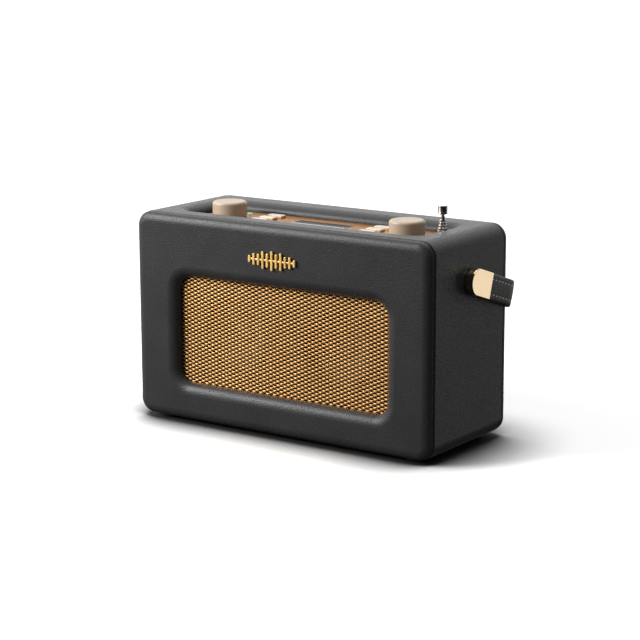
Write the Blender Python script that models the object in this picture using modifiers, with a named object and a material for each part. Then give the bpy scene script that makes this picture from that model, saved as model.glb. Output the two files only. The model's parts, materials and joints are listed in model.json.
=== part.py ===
"""A retro tabletop radio: a leathercloth cabinet with a pierced gold grille, a recessed control panel,
two knobs, eight keys, a telescopic antenna and a leather carrying handle that swings over the top.

The empty cabinet_frame stands at the middle of the cabinet's underside. Inside it +X is to the right,
-Y is the front and +Z is up. World zero is the middle of the footprint of the whole object."""

import math

import bmesh
import bpy
from mathutils import Vector

MM = 0.001
CLEAR = 0.3 * MM

# Cabinet
CABINET_WIDTH = 250 * MM
CABINET_HEIGHT = 149 * MM
CABINET_DEPTH = 101 * MM
CORNER_RADIUS = 11 * MM
COVER_THICKNESS = 0.8 * MM
SLEEVE_WALL = 8 * MM
HOLLOW_CORNER = 1.5 * MM
FOOT_HEIGHT = 2.5 * MM
FOOT_DIAMETER = 14 * MM
FOOT_EDGE = 20 * MM

# Front and back panels
FRONT_PANEL_THICKNESS = 4.9 * MM
BACK_PANEL_THICKNESS = 4.1 * MM
PANEL_SIDE_INSET = 0.4 * MM
FRONT_EDGE_ROLL = (6.5 * MM, 3.0 * MM)
BACK_EDGE_ROLL = (3.0 * MM, 2.6 * MM)
FRONT_REBATE = 2.1 * MM
PIPING_WIDTH = 0.8 * MM
PIPING_SINK = 0.5 * MM
PIPING_BREADTH = 3.0 * MM

# Grille and speakers
GRILLE_SIDE_MARGIN = 37 * MM
GRILLE_BOTTOM_MARGIN = 26.5 * MM
GRILLE_TOP_MARGIN = 44.5 * MM
GRILLE_CORNER = 8 * MM
GRILLE_ROLL = 6 * MM
MESH_THICKNESS = 1.0 * MM
MESH_LAP = 4.5 * MM
BAFFLE_THICKNESS = 6 * MM
CONE_DIAMETER = 54 * MM
SPEAKER_RIM = 6 * MM
SPEAKER_DEPTH = 18 * MM
MAGNET_DIAMETER = 40 * MM
MAGNET_THICKNESS = 12 * MM

# Badge
BADGE_WIDTH = 40 * MM
BADGE_HEIGHT = 13.8 * MM
BADGE_THICKNESS = 1.4 * MM
BADGE_SHIFT = -2.8 * MM
BADGE_DROP = 24.6 * MM
BADGE_BARS = 11
BADGE_RAIL = 1.2 * MM

# Recessed controls
RECESS_SIDE_MARGIN = 26 * MM
RECESS_HALF_DEPTH = 24.75 * MM
RECESS_CORNER = 8 * MM
RECESS_ROLL = 5.5 * MM
PANEL_DROP = 6.7 * MM
PANEL_THICKNESS = 1.6 * MM
TRAY_WALL = 2 * MM
TRAY_DEPTH = 15.4 * MM
TRAY_FLANGE = 8 * MM
BOARD_THICKNESS = 1.6 * MM

KNOB_DIAMETER = 25 * MM
KNOB_RISE = 5 * MM
KNOB_EDGE_RADIUS = 3 * MM
KNOB_SIDE_MARGIN = 49 * MM
KNOB_Y = -2.5 * MM
KNOB_LIFT = 0.8 * MM
SHAFT_DIAMETER = 6 * MM
SHAFT_RISE = 1 * MM
ENCODER_SIZE = 13 * MM
ENCODER_HEIGHT = 7 * MM
ENCODER_BUSH_WALL = 1.35 * MM
ENCODER_BORE_DEPTH = 2 * MM
SHAFT_RUNNING_GAP = 0.15 * MM

BUTTON_LENGTH = 13 * MM
BUTTON_DEPTH = 6 * MM
BUTTON_RISE = 2 * MM
BUTTON_TRAVEL = 1.0 * MM
BUTTON_PITCH = 10.5 * MM
BUTTON_REAR_Y = 14 * MM
BUTTON_ROWS = 4
BUTTON_KNOB_GAP = 11 * MM
BUTTON_LIP = 1.0 * MM
BUTTON_STEM_DIAMETER = 4 * MM
BUTTON_CORNER = 0.8 * MM
KEYPAD_SHEET = 1.2 * MM
KEYPAD_HEIGHT = 3.6 * MM

DISPLAY_SIDE_GAP = 16.5 * MM
DISPLAY_DEPTH = 24 * MM
DISPLAY_PROUD = 0.3 * MM
LAMP_DIAMETER = 5 * MM
LAMP_OFFSET = (2 * MM, 21.5 * MM)

# Telescopic antenna
ANTENNA_SIDE_MARGIN = 33.5 * MM
ANTENNA_Y = 18.5 * MM
ANTENNA_FLOOR = 26 * MM
ANTENNA_DIAMETER = 7.3 * MM
ANTENNA_WALL = 0.25 * MM
ANTENNA_GAP = 0.15 * MM
ANTENNA_STEP = 1.9 * MM
ANTENNA_RISE = 2.8 * MM
ANTENNA_SECTIONS = 5
ANTENNA_CAP = (7.0 * MM, 6.0 * MM)
ANTENNA_SIDES = 12
BUSH_WALL = 0.35 * MM
BUSH_LIP = 0.5 * MM
BUSH_FLANGE = 0.8 * MM

# Carrying handle
PIVOT_DROP = 33 * MM
PIVOT_Y = 0 * MM
PIVOT_PIN_DIAMETER = 6 * MM
PIVOT_RUNNING_GAP = 0.15 * MM
PIVOT_BUSH_WALL = 1.35 * MM
PIVOT_FLANGE_LIP = 3.0 * MM
PIVOT_FLANGE_THICKNESS = 1.0 * MM
PIN_HEAD_LIP = 2.5 * MM
PIN_HEAD_LENGTH = 2 * MM
BRACKET_WIDTH = 18.5 * MM
BRACKET_TONGUE = 17.75 * MM
BRACKET_THICKNESS = 5.5 * MM
BRACKET_BLOCK = 6 * MM
STRAP_WIDTH = 18.5 * MM
STRAP_THICKNESS = 3.3 * MM
STRAP_BEND = 17 * MM
STRAP_SWING_CLEARANCE = 1.4 * MM
HANDLE_REST_ANGLE = math.radians(-18)

# Power and sockets
CELL_DIAMETER = 34.2 * MM
CELL_LENGTH = 61.5 * MM
CELL_PLAY = 0.6 * MM
CONTACT_DEPTH = 4 * MM
BATTERY_WALL = 2 * MM
DOOR_THICKNESS = 3.2 * MM
DOOR_BORDER = 3.5 * MM
DOOR_GAP = 0.4 * MM
SOCKET_PLATE = (28 * MM, 60 * MM, 2.6 * MM)
SOCKET_SIDE_MARGIN = 33 * MM
SOCKET_PITCH = 16 * MM
SOCKET_SIZE = (11 * MM, 13 * MM, 10 * MM)
SOCKET_BORE_DEPTH = 9 * MM
DC_BORE_DIAMETER = 6.4 * MM
DC_PIN_DIAMETER = 2.0 * MM
JACK_BORE_DIAMETER = 3.6 * MM
MAIN_BOARD_WIDTH = 42 * MM
BACK_SCREW_SIDE_MARGIN = 14 * MM
SCREW_HEAD = (6.4 * MM, 1.8 * MM)
SCREW_SHANK = (3.0 * MM, 12 * MM)

FINE = 24
MEDIUM = 16
COARSE = 12
ARC_STEPS = 4
CORNER_STEPS = 5

FINISHES = {
    "leathercloth": ((0.030, 0.030, 0.031), 0.55, 0.0),
    "wood": ((0.45, 0.31, 0.18), 0.70, 0.0),
    "tan_piping": ((0.30, 0.16, 0.08), 0.60, 0.0),
    "gold_mesh": ((0.83, 0.55, 0.20), 0.35, 1.0),
    "badge_gold": ((0.86, 0.60, 0.20), 0.25, 1.0),
    "copper_panel": ((0.52, 0.25, 0.09), 0.40, 0.8),
    "black_plastic": ((0.02, 0.02, 0.02), 0.50, 0.0),
    "display_glass": ((0.01, 0.01, 0.012), 0.08, 0.0),
    "lamp_green": ((0.08, 0.62, 0.42), 0.30, 0.0),
    "beige_knob": ((0.66, 0.53, 0.39), 0.45, 0.0),
    "cream_key": ((0.86, 0.78, 0.64), 0.35, 0.0),
    "chrome": ((0.80, 0.80, 0.80), 0.08, 1.0),
    "brass": ((0.85, 0.68, 0.42), 0.22, 1.0),
    "strap_leather": ((0.028, 0.027, 0.026), 0.50, 0.0),
    "rubber": ((0.02, 0.02, 0.02), 0.85, 0.0),
    "green_board": ((0.03, 0.18, 0.08), 0.55, 0.0),
    "steel": ((0.55, 0.55, 0.56), 0.35, 1.0),
    "paper_cone": ((0.05, 0.05, 0.05), 0.90, 0.0),
    "cell_jacket": ((0.10, 0.10, 0.12), 0.40, 0.3),
}

# Places that follow from the sizes above, measured in the cabinet frame
LINING = COVER_THICKNESS + CLEAR
SLEEVE_SKIN = LINING + SLEEVE_WALL
HALF_WIDTH = CABINET_WIDTH / 2
HALF_DEPTH = CABINET_DEPTH / 2
HOLLOW_WIDTH = CABINET_WIDTH - 2 * SLEEVE_SKIN
HOLLOW_HEIGHT = CABINET_HEIGHT - 2 * SLEEVE_SKIN
SEAM = PIPING_WIDTH + 2 * CLEAR
FRONT_Y = -HALF_DEPTH
BODY_FRONT_Y = FRONT_Y + FRONT_PANEL_THICKNESS + SEAM
BODY_BACK_Y = HALF_DEPTH - BACK_PANEL_THICKNESS - SEAM
BODY_LENGTH = BODY_BACK_Y - BODY_FRONT_Y
BODY_MIDDLE_Y = (BODY_BACK_Y + BODY_FRONT_Y) / 2
REBATE_BACK_Y = FRONT_Y + FRONT_PANEL_THICKNESS + FRONT_REBATE
MESH_FRONT_Y = REBATE_BACK_Y + CLEAR
BAFFLE_FRONT_Y = MESH_FRONT_Y + MESH_THICKNESS + CLEAR
BAFFLE_BACK_Y = BAFFLE_FRONT_Y + BAFFLE_THICKNESS
GRILLE_WIDTH = CABINET_WIDTH - 2 * GRILLE_SIDE_MARGIN
GRILLE_HEIGHT = CABINET_HEIGHT - GRILLE_TOP_MARGIN - GRILLE_BOTTOM_MARGIN
GRILLE_Z = GRILLE_BOTTOM_MARGIN + GRILLE_HEIGHT / 2
SPEAKER_X = GRILLE_WIDTH / 4
RECESS_HALF_WIDTH = HALF_WIDTH - RECESS_SIDE_MARGIN
PANEL_TOP_Z = CABINET_HEIGHT - PANEL_DROP
PANEL_UNDER_Z = PANEL_TOP_Z - PANEL_THICKNESS
TRAY_TOP_Z = PANEL_UNDER_Z - CLEAR
TRAY_FLOOR_Z = TRAY_TOP_Z - TRAY_DEPTH + TRAY_WALL
BOARD_TOP_Z = TRAY_FLOOR_Z + CLEAR + BOARD_THICKNESS
KNOB_X = HALF_WIDTH - KNOB_SIDE_MARGIN
KEYPAD_TOP_Z = BOARD_TOP_Z + CLEAR + KEYPAD_HEIGHT
KNOB_BASE_Z = PANEL_TOP_Z + KNOB_LIFT
ENCODER_NECK_Z = PANEL_TOP_Z + KNOB_LIFT / 3
ENCODER_BORE_Z = BOARD_TOP_Z + ENCODER_HEIGHT - ENCODER_BORE_DEPTH
BUTTON_X = KNOB_X - KNOB_DIAMETER / 2 - BUTTON_KNOB_GAP - BUTTON_LENGTH / 2
DISPLAY_WIDTH = 2 * (BUTTON_X - BUTTON_LENGTH / 2 - DISPLAY_SIDE_GAP)
ENCODER_BUSH_RADIUS = SHAFT_DIAMETER / 2 + SHAFT_RUNNING_GAP + ENCODER_BUSH_WALL
ANTENNA_X = HALF_WIDTH - ANTENNA_SIDE_MARGIN
BUSH_BORE_RADIUS = ANTENNA_DIAMETER / 2 + CLEAR
BUSH_NECK_RADIUS = BUSH_BORE_RADIUS + BUSH_WALL
PIVOT_Z = CABINET_HEIGHT - PIVOT_DROP
STRAP_INNER_REACH = math.hypot(HALF_DEPTH, PIVOT_DROP) + STRAP_SWING_CLEARANCE
STRAP_OUTER_REACH = STRAP_INNER_REACH + STRAP_THICKNESS
PIVOT_BUSH_RADIUS = PIVOT_PIN_DIAMETER / 2 + PIVOT_RUNNING_GAP + PIVOT_BUSH_WALL
BRACKET_INNER_X = HALF_WIDTH + PIVOT_FLANGE_THICKNESS + 2 * CLEAR
BRACKET_OUTER_X = BRACKET_INNER_X + BRACKET_THICKNESS
STRAP_X = (BRACKET_INNER_X + BRACKET_OUTER_X) / 2
TRAY_WIDTH = 2 * (CELL_LENGTH + CONTACT_DEPTH + CELL_PLAY) + 2 * BATTERY_WALL
TRAY_HEIGHT = 2 * (CELL_DIAMETER + CELL_PLAY) + 2 * BATTERY_WALL
BATTERY_BACK_Y = HALF_DEPTH - BACK_PANEL_THICKNESS - CLEAR
BATTERY_DEPTH = CELL_DIAMETER + 2 * CELL_PLAY + BATTERY_WALL
BATTERY_Z = SLEEVE_SKIN + CLEAR + TRAY_HEIGHT / 2
DOOR_WIDTH = TRAY_WIDTH - 2 * DOOR_BORDER
DOOR_HEIGHT = TRAY_HEIGHT - 2 * DOOR_BORDER
DOOR_AXIS_Y = HALF_DEPTH - DOOR_THICKNESS / 2
DOOR_AXIS_Z = BATTERY_Z - DOOR_HEIGHT / 2 + DOOR_THICKNESS / 2
SOCKET_X = -HALF_WIDTH + SOCKET_SIDE_MARGIN
SOCKET_Z = SLEEVE_SKIN + CLEAR + SOCKET_PLATE[1] / 2 + CLEAR
WALL_MIDDLE = LINING + SLEEVE_WALL / 2

# The footprint of the whole object is centred on world zero: the badge is its front, the strap its back
FOREMOST_Y = FRONT_Y - CLEAR - BADGE_THICKNESS
REARMOST_Y = (
    PIVOT_Y
    + STRAP_OUTER_REACH * math.cos(HANDLE_REST_ANGLE)
    - STRAP_WIDTH / 2 * math.sin(HANDLE_REST_ANGLE)
)
CABINET_Y = -(FOREMOST_Y + REARMOST_Y) / 2


def clear_scene():
    for thing in list(bpy.data.objects):
        bpy.data.objects.remove(thing, do_unlink=True)


def new_collection(name):
    group = bpy.data.collections.new(name)
    bpy.context.scene.collection.children.link(group)
    return group


def finish_material(name):
    made = bpy.data.materials.get(name)
    if made:
        return made
    colour, roughness, metallic = FINISHES[name]
    made = bpy.data.materials.new(name)
    made.use_nodes = True
    shader = made.node_tree.nodes["Principled BSDF"]
    shader.inputs["Base Color"].default_value = (*colour, 1.0)
    shader.inputs["Roughness"].default_value = roughness
    shader.inputs["Metallic"].default_value = metallic
    made.diffuse_color = (*colour, 1.0)
    return made


def empty(name, place, parent=None, turn=(0, 0, 0)):
    made = bpy.data.objects.new(name, None)
    made.location = place
    made.rotation_euler = turn
    made.parent = parent
    bpy.context.scene.collection.objects.link(made)
    return made


def piece(name, mesh, finish, parent, place=(0, 0, 0), turn=(0, 0, 0)):
    """One named part of the radio."""
    mesh.materials.append(finish_material(finish))
    made = bpy.data.objects.new(name, mesh)
    made.location = place
    made.rotation_euler = turn
    made.parent = parent
    parts.objects.link(made)
    return made


def tool(name, mesh, parent, place=(0, 0, 0), turn=(0, 0, 0)):
    """A helper that cuts a part or is joined to one, and isn't a part itself."""
    made = bpy.data.objects.new(name, mesh)
    made.location = place
    made.rotation_euler = turn
    made.parent = parent
    made.hide_render = True
    made.display_type = "WIRE"
    tools.objects.link(made)
    return made


def boolean(thing, helper, operation="DIFFERENCE"):
    step = thing.modifiers.new(f"{operation.lower()}_{helper.name}", "BOOLEAN")
    step.operation = operation
    step.solver = "EXACT"
    step.object = helper


def mesh_from(bm, name):
    bmesh.ops.recalc_face_normals(bm, faces=bm.faces)
    mesh = bpy.data.meshes.new(name)
    bm.to_mesh(mesh)
    bm.free()
    return mesh


def rounded_block(size, axis=2, radius=0.0, steps=CORNER_STEPS):
    """A bmesh block of the given size about zero, with the four edges along one axis rounded."""
    bm = bmesh.new()
    bmesh.ops.create_cube(bm, size=1.0)
    bmesh.ops.scale(bm, vec=size, verts=bm.verts)
    if radius > 0:
        edges = [edge for edge in bm.edges if abs((edge.verts[1].co - edge.verts[0].co)[axis]) > 1e-7]
        bmesh.ops.bevel(
            bm, geom=edges, offset=radius, segments=steps, profile=0.5, affect="EDGES", material=-1
        )
    return bm


def block(name, size, axis=2, radius=0.0, steps=CORNER_STEPS):
    return mesh_from(rounded_block(size, axis, radius, steps), name)


def face_towards(bm, direction):
    bm.normal_update()
    return max(bm.faces, key=lambda face: face.normal.dot(Vector(direction)) * face.calc_area())


def step_inwards(bm, face, increments):
    """Insets a face again and again, each time by (inset, rise), which draws a moulding round its edge."""
    for inset, rise in increments:
        bmesh.ops.inset_region(
            bm, faces=[face], thickness=inset, depth=rise, use_even_offset=True, use_boundary=True
        )


def quarter_round(across, rise, steps=ARC_STEPS):
    """(inset, rise) increments of a quarter round that starts upright and ends flat."""
    points = [
        (across * (1 - math.cos(turn)), rise * math.sin(turn))
        for turn in (math.pi / 2 * i / steps for i in range(steps + 1))
    ]
    return [(b[0] - a[0], b[1] - a[1]) for a, b in zip(points, points[1:])]


def padded_panel(name, width, height, thickness, roll, front):
    """An upright panel whose outer edge rolls back. Its rim is at local Y 0 and it faces front (-1 or 1)."""
    across, rise = roll
    bm = rounded_block(
        (width, thickness - rise, height), axis=1, radius=CORNER_RADIUS - PANEL_SIDE_INSET
    )
    bmesh.ops.translate(bm, vec=(0, front * (thickness - rise) / 2, 0), verts=bm.verts)
    step_inwards(bm, face_towards(bm, (0, front, 0)), quarter_round(across, rise))
    return mesh_from(bm, name)


def well(name, width, height, corner, roll, depth, above=5 * MM):
    """A cutter for an opening whose lip rolls over: local Z 0 is the surface, and it goes down -Z."""
    bm = rounded_block((width + 2 * roll, height + 2 * roll, above), 2, corner + roll)
    bmesh.ops.translate(bm, vec=(0, 0, above / 2), verts=bm.verts)
    floor = face_towards(bm, (0, 0, -1))
    lip = [(inset, rise) for inset, rise in reversed(quarter_round(roll, roll))]
    step_inwards(bm, floor, lip)
    moved = bmesh.ops.extrude_discrete_faces(bm, faces=[floor])["faces"]
    bmesh.ops.translate(bm, vec=(0, 0, -(depth - roll)), verts=moved[0].verts)
    return mesh_from(bm, name)


def turned(name, profile, finish, parent, place, turn=(0, 0, 0), steps=FINE, closed=False):
    """A turned shape: the profile of (radius, height) points runs down its outer side."""
    mesh = bpy.data.meshes.new(name)
    edges = [(i, i + 1) for i in range(len(profile) - 1)]
    if closed:
        edges.append((len(profile) - 1, 0))
    mesh.from_pydata([(radius, 0, height) for radius, height in profile], edges, [])
    made = piece(name, mesh, finish, parent, place, turn)
    screw = made.modifiers.new("turn", "SCREW")
    screw.angle = 2 * math.pi
    screw.steps = steps
    screw.render_steps = steps
    screw.use_merge_vertices = True
    screw.merge_threshold = 0.00001
    screw.use_smooth_shade = False
    return made


def rod_profile(radius, bottom, top):
    return [(0, top), (radius, top), (radius, bottom), (0, bottom)]


def tube_profile(inner, outer, bottom, top):
    return [(outer, top), (outer, bottom), (inner, bottom), (inner, top)]


def cylinder_cutter(name, radius, length, parent, place, turn=(0, 0, 0), steps=MEDIUM):
    bm = bmesh.new()
    bmesh.ops.create_cone(
        bm, cap_ends=True, segments=steps, radius1=radius, radius2=radius, depth=length
    )
    return tool(name, mesh_from(bm, name), parent, place, turn)


def plate_from_outline(name, outline, thickness):
    """A flat plate in the XY plane, its outline extruded to both sides of Z 0."""
    bm = bmesh.new()
    ring = [bm.verts.new((x, y, -thickness / 2)) for x, y in outline]
    face = bm.faces.new(ring)
    raised = bmesh.ops.extrude_face_region(bm, geom=[face])["geom"]
    corners = [item for item in raised if isinstance(item, bmesh.types.BMVert)]
    bmesh.ops.translate(bm, vec=(0, 0, thickness), verts=corners)
    return mesh_from(bm, name)


def arc(centre, radius, start, end, steps):
    return [
        (
            centre[0] + radius * math.cos(start + (end - start) * i / steps),
            centre[1] + radius * math.sin(start + (end - start) * i / steps),
        )
        for i in range(steps + 1)
    ]


def recess_well(name, offset, depth, parent):
    """The control recess, widened by an offset: 0 gives the face of the leathercloth."""
    mesh = well(
        name,
        2 * (RECESS_HALF_WIDTH + offset),
        2 * (RECESS_HALF_DEPTH + offset),
        RECESS_CORNER + offset,
        RECESS_ROLL - offset,
        depth,
    )
    return tool(name, mesh, parent, (0, 0, CABINET_HEIGHT - offset))


def make_sleeve(frame):
    """The wooden sleeve: four walls, open at the front and the back, with the control opening on top."""
    size = (CABINET_WIDTH - 2 * LINING, BODY_LENGTH, CABINET_HEIGHT - 2 * LINING)
    middle = (0, BODY_MIDDLE_Y, CABINET_HEIGHT / 2)
    sleeve = piece(
        "cabinet_sleeve", block("cabinet_sleeve", size, 1, CORNER_RADIUS - LINING), "wood", frame, middle
    )
    hollow = block("sleeve_hollow", (HOLLOW_WIDTH, CABINET_DEPTH, HOLLOW_HEIGHT), 1, HOLLOW_CORNER)
    boolean(sleeve, tool("sleeve_hollow", hollow, frame, middle))
    boolean(sleeve, recess_well("sleeve_recess", LINING, SLEEVE_WALL * 1.5, frame))
    return sleeve


def make_cover(frame):
    """The leathercloth on the sleeve, which also rolls down into the control recess."""
    size = (CABINET_WIDTH, BODY_LENGTH, CABINET_HEIGHT)
    middle = (0, BODY_MIDDLE_Y, CABINET_HEIGHT / 2)
    cover = piece(
        "cabinet_cover", block("cabinet_cover", size, 1, CORNER_RADIUS), "leathercloth", frame, middle
    )
    core_size = (
        CABINET_WIDTH - 2 * COVER_THICKNESS,
        CABINET_DEPTH,
        CABINET_HEIGHT - 2 * COVER_THICKNESS,
    )
    core_mesh = block("cover_core", core_size, 1, CORNER_RADIUS - COVER_THICKNESS)
    core = tool("cover_core", core_mesh, frame, middle)
    lip_depth = SLEEVE_WALL + CLEAR
    boolean(core, recess_well("cover_core_recess", COVER_THICKNESS, lip_depth, frame))
    boolean(cover, recess_well("cover_recess", 0, SLEEVE_WALL * 2, frame))
    boolean(cover, core)
    return cover


def make_front_panel(frame):
    """The leathercloth front: a flange that shows, a rebate that sits in the sleeve, and the opening."""
    width = CABINET_WIDTH - 2 * PANEL_SIDE_INSET
    height = CABINET_HEIGHT - 2 * PANEL_SIDE_INSET
    rim_y = FRONT_Y + FRONT_PANEL_THICKNESS
    mesh = padded_panel("front_panel", width, height, FRONT_PANEL_THICKNESS, FRONT_EDGE_ROLL, -1)
    panel = piece("front_panel", mesh, "leathercloth", frame, (0, rim_y, CABINET_HEIGHT / 2))
    lap = FRONT_PANEL_THICKNESS / 3
    rebate_size = (HOLLOW_WIDTH - 2 * CLEAR, FRONT_REBATE + lap, HOLLOW_HEIGHT - 2 * CLEAR)
    rebate_mesh = block("front_rebate", rebate_size, 1, HOLLOW_CORNER)
    rebate_y = rim_y + (FRONT_REBATE - lap) / 2
    boolean(panel, tool("front_rebate", rebate_mesh, frame, (0, rebate_y, CABINET_HEIGHT / 2)), "UNION")
    opening = well(
        "grille_opening", GRILLE_WIDTH, GRILLE_HEIGHT, GRILLE_CORNER, GRILLE_ROLL, FRONT_PANEL_THICKNESS * 3
    )
    boolean(
        panel,
        tool("grille_opening", opening, frame, (0, FRONT_Y, GRILLE_Z), (math.pi / 2, 0, 0)),
    )
    return panel


def make_piping(name, rim_y, frame):
    """The thin tan line between a panel and the body."""
    width = CABINET_WIDTH - 2 * PIPING_SINK
    height = CABINET_HEIGHT - 2 * PIPING_SINK
    place = (0, rim_y, CABINET_HEIGHT / 2)
    mesh = block(name, (width, PIPING_WIDTH, height), 1, CORNER_RADIUS - PIPING_SINK)
    piping = piece(name, mesh, "tan_piping", frame, place)
    inside = (width - 2 * PIPING_BREADTH, PIPING_WIDTH * 4, height - 2 * PIPING_BREADTH)
    inner = block(f"{name}_inside", inside, 1, CORNER_RADIUS - PIPING_SINK - PIPING_BREADTH)
    boolean(piping, tool(f"{name}_inside", inner, frame, place))
    return piping


def make_back_panel(frame):
    """The back: it closes the sleeve and has openings for the battery door and the sockets."""
    width = CABINET_WIDTH - 2 * PANEL_SIDE_INSET
    height = CABINET_HEIGHT - 2 * PANEL_SIDE_INSET
    rim_y = HALF_DEPTH - BACK_PANEL_THICKNESS
    mesh = padded_panel("back_panel", width, height, BACK_PANEL_THICKNESS, BACK_EDGE_ROLL, 1)
    panel = piece("back_panel", mesh, "leathercloth", frame, (0, rim_y, CABINET_HEIGHT / 2))
    deep = BACK_PANEL_THICKNESS * 4
    door_size = (DOOR_WIDTH + 2 * DOOR_GAP, deep, DOOR_HEIGHT + 2 * DOOR_GAP)
    door_place = (0, HALF_DEPTH, BATTERY_Z)
    boolean(panel, tool("door_opening", block("door_opening", door_size), frame, door_place))
    socket_size = (SOCKET_PLATE[0] + 2 * CLEAR, deep, SOCKET_PLATE[1] + 2 * CLEAR)
    socket_mesh = block("socket_opening", socket_size, 1, 2 * MM, 3)
    boolean(panel, tool("socket_opening", socket_mesh, frame, (SOCKET_X, HALF_DEPTH, SOCKET_Z)))
    for index, (x, z) in enumerate(back_screw_places()):
        hole = cylinder_cutter(
            f"back_screw_hole_{index}",
            SCREW_SHANK[0] / 2 + CLEAR,
            deep,
            frame,
            (x, HALF_DEPTH, z),
            (math.pi / 2, 0, 0),
            COARSE,
        )
        sink = cylinder_cutter(
            f"back_screw_sink_{index}",
            SCREW_HEAD[0] / 2 + CLEAR,
            2 * (SCREW_HEAD[1] + CLEAR),
            frame,
            (x, HALF_DEPTH, z),
            (math.pi / 2, 0, 0),
            COARSE,
        )
        boolean(panel, hole)
        boolean(panel, sink)
    return panel


def back_screw_places():
    edge_x = HALF_WIDTH - BACK_SCREW_SIDE_MARGIN
    return [(x, z) for x in (-edge_x, edge_x) for z in (WALL_MIDDLE, CABINET_HEIGHT - WALL_MIDDLE)]


def make_back_screws(frame, sleeve):
    """Four identical screws through the back panel's corners, and their pilot holes in the sleeve."""
    head_radius, head_height = SCREW_HEAD[0] / 2, SCREW_HEAD[1]
    shank_radius, shank_length = SCREW_SHANK[0] / 2, SCREW_SHANK[1]
    facing_back = (-math.pi / 2, 0, 0)
    profile = [
        (0, -CLEAR),
        (head_radius, -CLEAR),
        (head_radius, -CLEAR - head_height),
        (shank_radius, -CLEAR - head_height),
        (shank_radius, -CLEAR - head_height - shank_length),
        (0, -CLEAR - head_height - shank_length),
    ]
    for index, (x, z) in enumerate(back_screw_places(), 1):
        place = (x, HALF_DEPTH, z)
        turned(f"back_screw_{index}", profile, "steel", frame, place, facing_back, steps=COARSE)
        pilot_radius = shank_radius + CLEAR
        pilot_length = 2 * (shank_length + head_height + 2 * CLEAR)
        pilot = cylinder_cutter(
            f"pilot_hole_{index}", pilot_radius, pilot_length, frame, place, facing_back, COARSE
        )
        boolean(sleeve, pilot)


def make_feet(frame):
    """Four rubber feet under the corners."""
    height = FOOT_HEIGHT - CLEAR
    radius = FOOT_DIAMETER / 2
    profile = [(0, -CLEAR), (radius, -CLEAR), (radius - 0.6 * MM, -CLEAR - height), (0, -CLEAR - height)]
    inwards = radius + 2 * MM
    for row, y in (("front", BODY_FRONT_Y + inwards), ("back", BODY_BACK_Y - inwards)):
        for side, x in (("left", FOOT_EDGE - HALF_WIDTH), ("right", HALF_WIDTH - FOOT_EDGE)):
            turned(f"{row}_{side}_foot", profile, "rubber", frame, (x, y, 0), steps=MEDIUM)


def make_grille(frame):
    """The grille sheet, a plain plate here, with the speaker baffle behind it."""
    size = (GRILLE_WIDTH + 2 * MESH_LAP, MESH_THICKNESS, GRILLE_HEIGHT + 2 * MESH_LAP)
    place = (0, MESH_FRONT_Y + MESH_THICKNESS / 2, GRILLE_Z)
    piece("grille_mesh", block("grille_mesh", size, 1, GRILLE_CORNER), "gold_mesh", frame, place)
    baffle_size = (HOLLOW_WIDTH - 2 * CLEAR, BAFFLE_THICKNESS, HOLLOW_HEIGHT - 2 * CLEAR)
    baffle_place = (0, (BAFFLE_FRONT_Y + BAFFLE_BACK_Y) / 2, CABINET_HEIGHT / 2)
    baffle_mesh = block("speaker_baffle", baffle_size, 1, HOLLOW_CORNER)
    baffle = piece("speaker_baffle", baffle_mesh, "wood", frame, baffle_place)
    for side in (-1, 1):
        hole = cylinder_cutter(
            f"speaker_hole_{side}",
            CONE_DIAMETER / 2,
            BAFFLE_THICKNESS * 3,
            frame,
            (side * SPEAKER_X, baffle_place[1], GRILLE_Z),
            (math.pi / 2, 0, 0),
            FINE,
        )
        boolean(baffle, hole)


def make_speaker(side, name, frame):
    """A loudspeaker behind the baffle: the steel basket with its magnet, and the cone with its dust cap."""
    place = (side * SPEAKER_X, BAFFLE_BACK_Y + CLEAR, GRILLE_Z)
    turn = (math.pi / 2, 0, 0)
    cone_rim, magnet = CONE_DIAMETER / 2, MAGNET_DIAMETER / 2
    rim = cone_rim + SPEAKER_RIM
    plate, wall = 2 * MM, 1.2 * MM
    basket = [
        (0, -SPEAKER_DEPTH + wall),
        (magnet * 0.9 - wall, -SPEAKER_DEPTH + wall),
        (cone_rim, -plate),
        (cone_rim, 0),
        (rim, 0),
        (rim, -plate),
        (cone_rim + wall, -plate),
        (magnet * 0.9, -SPEAKER_DEPTH),
        (magnet, -SPEAKER_DEPTH),
        (magnet, -SPEAKER_DEPTH - MAGNET_THICKNESS),
        (0, -SPEAKER_DEPTH - MAGNET_THICKNESS),
    ]
    turned(f"{name}_speaker_frame", basket, "steel", frame, place, turn, MEDIUM)
    cone_depth = SPEAKER_DEPTH - 5 * MM
    cap = cone_rim * 0.32
    skin = 0.8 * MM
    cone = [
        (0, -cone_depth * 0.45),
        (cap * 0.6, -cone_depth * 0.52),
        (cap, -cone_depth * 0.75),
        (cone_rim - CLEAR - skin, -plate + CLEAR),
        (cone_rim - CLEAR, -plate + CLEAR),
        (cap, -cone_depth * 0.75 - skin * 2),
        (0, -cone_depth * 0.75 - skin * 2),
    ]
    turned(f"{name}_speaker_cone", cone, "paper_cone", frame, place, turn, MEDIUM)


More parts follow.
